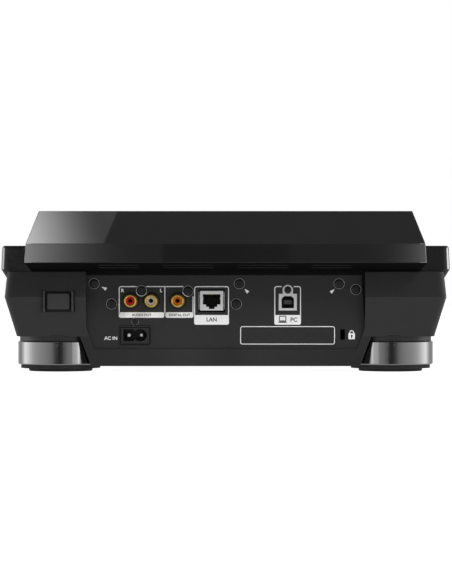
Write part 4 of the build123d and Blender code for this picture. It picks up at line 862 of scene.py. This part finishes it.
spring = box_mm(-0.25, 0.25, -6.0, 6.0, 0.15)
spring_away = 0.75 * mm
tab = in_mm((0, -0.5), (0.8, -0.3), (0.8, 0.3), (0, 0.5))
tab_away, tab_rise = 0.1 * mm, 3.2 * mm
stop = box_mm(-0.3, 0.3, -0.9, 0.9, 0.2)
stop_away, stop_down = 5.9 * mm, 3.0 * mm
spring_levels = (-1.4 * mm, -0.3 * mm)
tab_levels = (-1.2 * mm, -0.5 * mm)
stop_levels = (-0.9 * mm, -0.05 * mm)
work = bmesh.new()
for side in (-1, 1):
    edge = side * (lan_high.x - lan_low.x) / 2 - lan.x
    slab(work, on_panel(edge + side * spring_away, lan.z), spring, *spring_levels)
    for rise in (-tab_rise, tab_rise):
        leaf = on_panel(edge + side * tab_away, lan.z + rise) @ Matrix.Scale(side, 4, (1, 0, 0))
        slab(work, leaf, tab, *tab_levels)
    slab(work, on_panel(side * stop_away - lan.x, lan_roof - stop_down), stop, *stop_levels)
piece("lan_springs", work, "chassis", "shield_steel")

work = bmesh.new()
pins_low, pins_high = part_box("ac_pins")
pin_radius = (pins_high.z - pins_low.z) / 2
pin_shape = [(0, pins_low.y), (pin_radius, pins_low.y)]
pin_shape += [(x, pins_high.y - pin_radius + y) for x, y in arc(pin_radius, 0, 75, parts=5)]
pin_shape.append((0, pins_high.y))
for x in (pins_low.x + pin_radius, pins_high.x - pin_radius):
    lathe(work, on_rear(x, 0, centre("ac_pins").z), pin_shape)
pins = piece("ac_pins_round", work, "chassis", "shield_steel", "pin_metal")
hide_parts("ac_pins")

sleeve = in_mm((1.2, -4.4), (1.0, -4.6), (1.0, -7.0), (1.3, -7.0), (1.3, -4.4), (1.2, -4.4))
lip = in_mm((4.0, -0.9), (4.16, -0.8), (4.2, -0.3), (4.1, 0.0), (3.85, 0.2), (3.5, 0.26), (3.15, 0.1),
            (2.95, -0.25), (2.92, -0.8))
foot = in_mm((4.75, -0.6), (4.8, 0.9), (4.65, 1.2), (4.3, 1.35), (4.1, 1.3))
phono_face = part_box("rca_inserts")[1].y
work = bmesh.new()
feet = bmesh.new()
for x in phono_places:
    lathe(work, on_rear(x, phono_face, phono_up), sleeve, turns=24)
    lathe(work, on_rear(x, phono_high.y, phono_up), lip, turns=64)
    lathe(feet, on_rear(x, panel_y, phono_up), foot, turns=64)
piece("phono_sleeves", work, "chassis", "gold_plate")
piece("phono_feet", feet, "chassis", "gold_plate", "aged_gold")

# Controls: signs on the keys, lamp rings, pointers, the fader's line, the selector's rings
top_slack = 0.05 * mm


def facing(out):
    """Turns a flat place to face out, its own x axis across the player."""
    out = Vector(out).normalized()
    across = Vector((1, 0, 0))
    return Matrix((across, out.cross(across), out)).transposed().to_4x4()


def crown(node, out=(0, 0, 1)):
    """The middle of a node's topmost face as a place, and that face's width and depth."""
    turn = facing(out)
    spots = [turn.inverted() @ spot.co for spot in frame["nodes"][node].data.vertices]
    level = max(spot.z for spot in spots)
    top = [spot for spot in spots if spot.z > level - top_slack]
    low = Vector([min(spot[axis] for spot in top) for axis in range(2)])
    high = Vector([max(spot[axis] for spot in top) for axis in range(2)])
    x, y = (low + high) / 2
    return turn @ Matrix.Translation((x, y, level)), high - low


def wedge(tail, tip):
    return [(tail, -0.5), (tip, 0.0), (tail, 0.5)]


def bar(left, right):
    return rectangle(left, right, -0.5, 0.5)


signs = {
    "play_button": [wedge(-0.95, -0.05), bar(0.15, 0.4), bar(0.65, 0.9)],
    "search_back_button": [wedge(0.85, 0.0), wedge(0.0, -0.85)],
    "search_forward_button": [wedge(-0.85, 0.0), wedge(0.0, 0.85)],
    "track_back_button": [bar(-1.0, -0.8), wedge(0.85, 0.05), wedge(0.05, -0.75)],
    "track_forward_button": [bar(0.8, 1.0), wedge(-0.85, -0.05), wedge(-0.05, 0.75)],
}
key_words = {
    "cue_button": "CUE", "hot_cue_button_a": "A", "hot_cue_button_b": "B", "hot_cue_button_c": "C",
    "hot_cue_button_d": "D", "loop_in_button": "IN", "loop_out_button": "OUT", "loop_exit_button": "EXIT",
    "delete_button": "DEL", "memory_button": "MEM", "sync_button": "SYNC", "master_button": "MAIN",
    "tempo_range_button": "RANGE", "master_tempo_button": "KEY", "tempo_reset_button": "RESET",
    "browse_button": "BROWSE", "list_button": "LIST", "info_button": "INFO", "menu_button": "MENU",
    "back_button": "BACK",
}
joints = frame["record"]["behaviour"]["joints"]
face_out = next(joint["axis"] for joint in joints if joint["name"] == "selector_turn")
face_keys = ("browse_button", "list_button", "info_button", "menu_button", "back_button")
letter_share = 0.68
word_height, letter_height, cue_height = 2.6 * mm, 3.6 * mm, 5.0 * mm
sign_size = 7.0 * mm
for node in list(signs) + list(key_words):
    place, (width, depth) = crown(node, face_out if node in face_keys else (0, 0, 1))
    work = bmesh.new()
    if node in signs:
        size = min(0.4 * depth, 0.3 * width, sign_size)
        for outline in signs[node]:
            slab(work, place, [(x * size, y * size) for x, y in outline])
    else:
        text = key_words[node]
        tallest = letter_height if len(text) == 1 else word_height
        if node == "cue_button":
            tallest = cue_height
        height = min(0.36 * depth, 0.8 * width / (letter_share * len(text)), tallest)
        letters(work, place, text, height, bold=0.01)
    piece(node + "_sign", work, node, "white_plastic", "white_ink")

lamp_shape = [(0.80, 0), (0.81, 0.6), (0.84, 1), (0.88, 1), (0.91, 0.6), (0.92, 0)]
lamp_rise = 0.3 * mm
for node, lamp in (("play_button", "play_lamp"), ("cue_button", "cue_lamp")):
    place, size = crown(node)
    work = bmesh.new()
    lathe(work, place, [(share * size.x / 2, rise * lamp_rise) for share, rise in lamp_shape], turns=72)
    piece(node + "_ring", work, node, "white_plastic", lamp)

mark_lift = 2 * print_lift
pointer_half = 0.5 * mm
for node in ("brake_knob", "jog_feel_knob"):
    place, size = crown(node)
    work = bmesh.new()
    mark = box_outline(-pointer_half, pointer_half, 0.12 * size.x, 0.46 * size.x, corner=0.3 * mm)
    slab(work, place, mark, high=mark_lift)
    piece(node + "_pointer", work, node, "white_plastic", "white_ink")

cap = centre("fader_cap")
ridge_half = 0.4 * mm
cap_spots = [spot.co for spot in frame["nodes"]["fader_cap"].data.vertices]
ridge = [spot for spot in cap_spots if abs(spot.y - cap.y) < 2 * ridge_half]
ridge_top = max(spot.z for spot in ridge)
ridge_reach = max(spot.x for spot in ridge if spot.z > ridge_top - top_slack) - cap.x - ridge_half
ridge_line = box_outline(-ridge_reach, ridge_reach, -ridge_half, ridge_half, corner=0.2 * mm)
work = bmesh.new()
slab(work, Matrix.Translation((cap.x, cap.y, ridge_top)), ridge_line, high=mark_lift)
piece("fader_cap_line", work, "fader_cap", "white_plastic", "white_ink")

place, size = crown("selector_knob", face_out)
knob_radius = size.x / 2
rim_rise, groove_rise = 0.12 * mm, 0.06 * mm
knob_hoops = [[(0.74, 0), (0.75, rim_rise), (0.82, rim_rise), (0.83, 0)]]
for share in (0.16, 0.32, 0.48):
    knob_hoops.append([(share, 0), (share + 0.02, groove_rise), (share + 0.04, 0)])
work = bmesh.new()
for hoop in knob_hoops:
    lathe(work, place, [(share * knob_radius, rise) for share, rise in hoop], turns=48)
piece("selector_knob_rings", work, "selector_knob", "shield_steel")

# Deck print: fader scale, dial scales, words
deck_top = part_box("deck_panel")[1].z
face_spot = crown("display_hood", face_out)[0].translation


def on_deck(x, y):
    return Matrix.Translation((x, y, deck_top))


def on_face(x, y):
    """A place on the hood's sloping face."""
    normal = Vector(face_out)
    z = face_spot.z - (y - face_spot.y) * normal.y / normal.z
    return Matrix.Translation((x, y, z)) @ facing(face_out)


fader = centre("fader_body")
fader_travel, fader_steps = 100 * mm, 20
tick_start, tick_corner = 3.6 * mm, 0.1 * mm
fader_sign_away, fader_sign_height = 15 * mm, 3.0 * mm
work = bmesh.new()
for step in range(fader_steps + 1):
    reach = (10.0 if step == fader_steps / 2 else 8.0 if step % 5 == 0 else 6.5) * mm
    thick = (0.35 if step % 5 == 0 else 0.2) * mm
    tick = on_deck(fader.x, fader.y + (step / fader_steps - 0.5) * fader_travel)
    for side in (-1, 1):
        left, right = sorted((side * tick_start, side * reach))
        slab(work, tick, box_outline(left, right, -thick, thick, tick_corner))
for sign, share in (("+", -0.5), ("-", 0.5)):
    place = on_deck(fader.x + fader_sign_away, fader.y + share * fader_travel)
    letters(work, place, sign, fader_sign_height, bold=0.02)
dial_swing, dial_steps = 150, 10
dial_inner, dial_outer = 8.3 * mm, 9.8 * mm
for node in ("brake_knob", "jog_feel_knob"):
    dial = on_deck(*centre(node).xy)
    for step in range(dial_steps + 1):
        angle = dial_swing * (1 - 2 * step / dial_steps)
        spoke = dial @ Matrix.Rotation(math.radians(angle), 4, "Z")
        thick = (0.3 if step % 5 == 0 else 0.18) * mm
        slab(work, spoke, box_outline(-thick, thick, dial_inner, dial_outer, tick_corner))
deck_words = [
    ("TEMPO", ["master_tempo_button"], -13.5), ("HOT CUE", ["hot_cue_button_d"], 9.6),
    ("BRAKE", ["brake_knob"], -12.2), ("JOG", ["jog_feel_knob"], -12.2),
    ("FWD", ["direction_lever"], 11.8), ("REV", ["direction_lever"], -11.8),
    ("LOOP", ["loop_out_button"], 11.2), ("PLAY / PAUSE", ["play_button"], 21.4),
    ("TRACK", ["track_back_button", "track_forward_button"], 9.2),
    ("SEARCH", ["search_back_button", "search_forward_button"], 9.2),
    ("MEMORY", ["delete_button", "memory_button"], 8.2),
]
face_words = [("MEDIA", "usb_a_jack", 9.5), ("SELECT", "selector_knob", 20.0)]
deck_letters, face_letters = 2.0 * mm, 2.2 * mm
for text, nodes, away in deck_words:
    x, y = sum((centre(node).xy for node in nodes), Vector((0, 0))) / len(nodes)
    letters(work, on_deck(x, y + away * mm), text, deck_letters)
for text, node, away in face_words:
    x, y = centre(node).xy
    letters(work, on_face(x, y + away * mm), text, face_letters)
piece("deck_print", work, "chassis", "white_plastic", "white_ink")

place, size = crown("screen_glass", face_out)
border_in, border_corner, border_line = 2.5 * mm, 2.0 * mm, 0.4 * mm
half, reach = [side / 2 - border_in for side in size]
work = bmesh.new()
ribbon(work, place, box_outline(-half, half, -reach, reach, border_corner), border_line, closed=True)
piece("screen_border", work, "chassis", "shield_steel")

# Jog wheel: bright trim on the rim, turned steps and a dark centre disc with its ring of ticks on the plate
hub = Matrix.Translation((0, jog_y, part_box("jog_wheel")[1].z))
trim = in_mm((85.4, 0), (85.6, 0.16), (86.2, 0.22), (86.8, 0.16), (87.0, 0))
work = bmesh.new()
lathe(work, hub, trim, turns=144)
piece("jog_wheel_trim", work, "jog", "jog_rim", "foot_chrome")

disc = Matrix.Translation((0, jog_y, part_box("jog_plate")[1].z))
step_radii = (79.0, 77.6, 52.0, 34.5)
step_shape = [(-0.5, 0), (-0.25, 0.14), (0.25, 0.14), (0.5, 0)]
work = bmesh.new()
for radius in step_radii:
    lathe(work, disc, in_mm(*[(radius + out, rise) for out, rise in step_shape]), turns=144)
piece("jog_plate_steps", work, "jog_plate", "jog_plate")

dish_radius = 29.5 * mm
dish_floor, dish_edge, dish_middle = -0.8 * mm, -0.5 * mm, -0.2 * mm
dome = []
dome_parts = 8
for part in range(dome_parts + 1):
    share = part / dome_parts
    dome.append((share * dish_radius, dish_middle + (dish_edge - dish_middle) * share ** 2))
work = bmesh.new()
lathe(work, disc, dome + [(dish_radius, dish_floor)], turns=96)
piece("jog_centre_disc", work, "jog_plate", "screen_glass")

jog_ticks = 60
tick_half, tick_outer = 0.2 * mm, 33.6 * mm
work = bmesh.new()
for step in range(jog_ticks):
    spoke = disc @ Matrix.Rotation(2 * math.pi * step / jog_ticks, 4, "Z")
    reach = (2.4 if step % 5 == 0 else 1.4) * mm
    slab(work, spoke, box_outline(-tick_half, tick_half, tick_outer - reach, tick_outer, tick_corner))
piece("jog_plate_ticks", work, "jog_plate", "white_plastic", "white_ink")

# Studio: white to the camera, grey walls and bright cards in the reflections, a graded softbox overhead
world = bpy.data.worlds.new("studio")
scene.world = world
world.use_nodes = True
studio = Shop(world.node_tree)
looking = studio.node("TexCoord", {}, {}, "Generated")
side, ahead, up = [studio.part(looking, axis) for axis in "XYZ"]
bearing = studio.node("Math", {"operation": "ARCTAN2"}, {0: abs(side), 1: ahead}) / math.pi
wall_stops = [
    (0.0, 0.02), (0.045, 0.04), (0.11, 0.17), (0.16, 0.22), (0.29, 0.30), (0.37, 0.38),
    (0.42, 0.46), (0.47, 0.62), (0.51, 0.78), (0.556, 0.93), (0.60, 0.98), (0.645, 0.6),
    (0.70, 0.3), (0.78, 0.2), (0.90, 0.4), (1.0, 0.4),
]
wall_level = 2.3
walls = studio.node("ValToRGB", {"stops": wall_stops}, {"Fac": bearing})
around = studio.blend(up.step(0.1, 0.5), walls, grey(0.065))
around = studio.blend(up.step(-0.12, -0.45), around, grey(0.25))
seen = studio.node("LightPath", {}, {}, "Is Camera Ray")
lit = studio.node("Background", {}, {"Color": around, "Strength": wall_level})
white = studio.node("Background", {}, {"Color": grey(1.0)})
sky = studio.node("MixShader", {}, {0: seen, 1: lit, 2: white})
studio.node("OutputWorld", {}, {"Surface": sky})

floor_half = 6.0
floor_shop = Finish("pale_floor")
floor_cloud = floor_shop.noise(size=0.4)
floor_seen = floor_shop.node("LightPath", {}, {}, "Is Camera Ray")
floor_glow = floor_shop.blend(floor_seen, grey(0.45), grey(1.0))
floor_shop.shade(Base_Color=floor_shop.blend(floor_cloud, grey(0.78), grey(0.82)), Roughness=0.9,
                 Emission_Color=floor_glow, Emission_Strength=0.95)
work = bmesh.new()
bmesh.ops.create_grid(work, x_segments=4, y_segments=4, size=floor_half)
mesh = bpy.data.meshes.new("floor")
work.to_mesh(mesh)
work.free()
mesh.materials.append(floor_shop.material)
floor = bpy.data.objects.new("floor", mesh)
floor.visible_glossy = False
scene.collection.objects.link(floor)


def softbox(name, spot, turn, size, level, base, fade, lean=0.0, mirrored=True):
    """A rectangular light, unseen by the camera, graded from its base to its full level."""
    light = bpy.data.lights.new(name, "AREA")
    light.shape = "RECTANGLE"
    light.size, light.size_y = size
    light.energy = math.pi * light.size * light.size_y * level
    light.use_nodes = True
    shop = Shop(light.node_tree)
    sheet = shop.node("NewGeometry", {}, {}, "Parametric")
    ramp = shop.part(sheet, "X") + lean * (shop.part(sheet, "Y") - 0.5)
    share = ramp.calc("MAXIMUM", ramp, 0.0)
    glow = shop.node("Emission", {}, {"Strength": base + (1 - base) * share ** fade})
    shop.node("OutputLight", {}, {"Surface": glow})
    lamp = bpy.data.objects.new(name, light)
    lamp.location = spot
    lamp.rotation_euler = [math.radians(angle) for angle in turn]
    lamp.visible_camera = False
    lamp.visible_glossy = mirrored
    scene.collection.objects.link(lamp)


card_across, card_away, card_up = 0.23, 2.25, 0.115
card_size = (0.26, 0.16)
foot_across, foot_up = 32 * mm, 12.5 * mm
foot_away = ring_high.y + 66 * mm
foot_card_size = (40 * mm, 24 * mm)
softbox("overhead_left", spot=(0.263, -0.307, 2.1), turn=(0, 0, -22.2), size=(0.156, 0.3),
        level=5.4, base=0.055, fade=1.75, lean=1.42)
softbox("front_top", spot=(-1.0, 1.4, 1.25), turn=(-49, 0, 38.9), size=(0.7, 0.5),
        level=17.5, base=1.0, fade=1.0, mirrored=False)
softbox("card_left", spot=(card_across, card_away, card_up), turn=(-90, 0, 0), size=card_size,
        level=5.9, base=0.014, fade=3.4)
softbox("card_right", spot=(-card_across, card_away, card_up), turn=(90, 0, 180), size=card_size,
        level=5.2, base=0.01, fade=8.0)
softbox("foot_card_left", spot=(foot_across, foot_away, foot_up), turn=(90, 0, 227), size=foot_card_size,
        level=2.2, base=0.2, fade=4.0)
softbox("foot_card_right", spot=(-foot_across, foot_away, foot_up), turn=(-90, 0, -47), size=foot_card_size,
        level=1.6, base=0.25, fade=5.0)

# Camera level with the sockets, as in the photo
photo_height = 584
photo_pixel = 0.668 * mm
hood_distance = 1.5
camera_aside, camera_up = -0.3 * mm, 54.5 * mm
camera_data = bpy.data.cameras.new("camera")
camera_data.sensor_width = 36
camera_data.lens = camera_data.sensor_width * hood_distance / (photo_height * photo_pixel)
camera_data.clip_end = 30
camera = bpy.data.objects.new("camera", camera_data)
camera.location = (camera_aside, cad_box[1][1] + hood_distance, camera_up)
camera.rotation_euler = (math.pi / 2, 0, math.pi)
scene.collection.objects.link(camera)
scene.camera = camera
scene.view_settings.view_transform = "Standard"
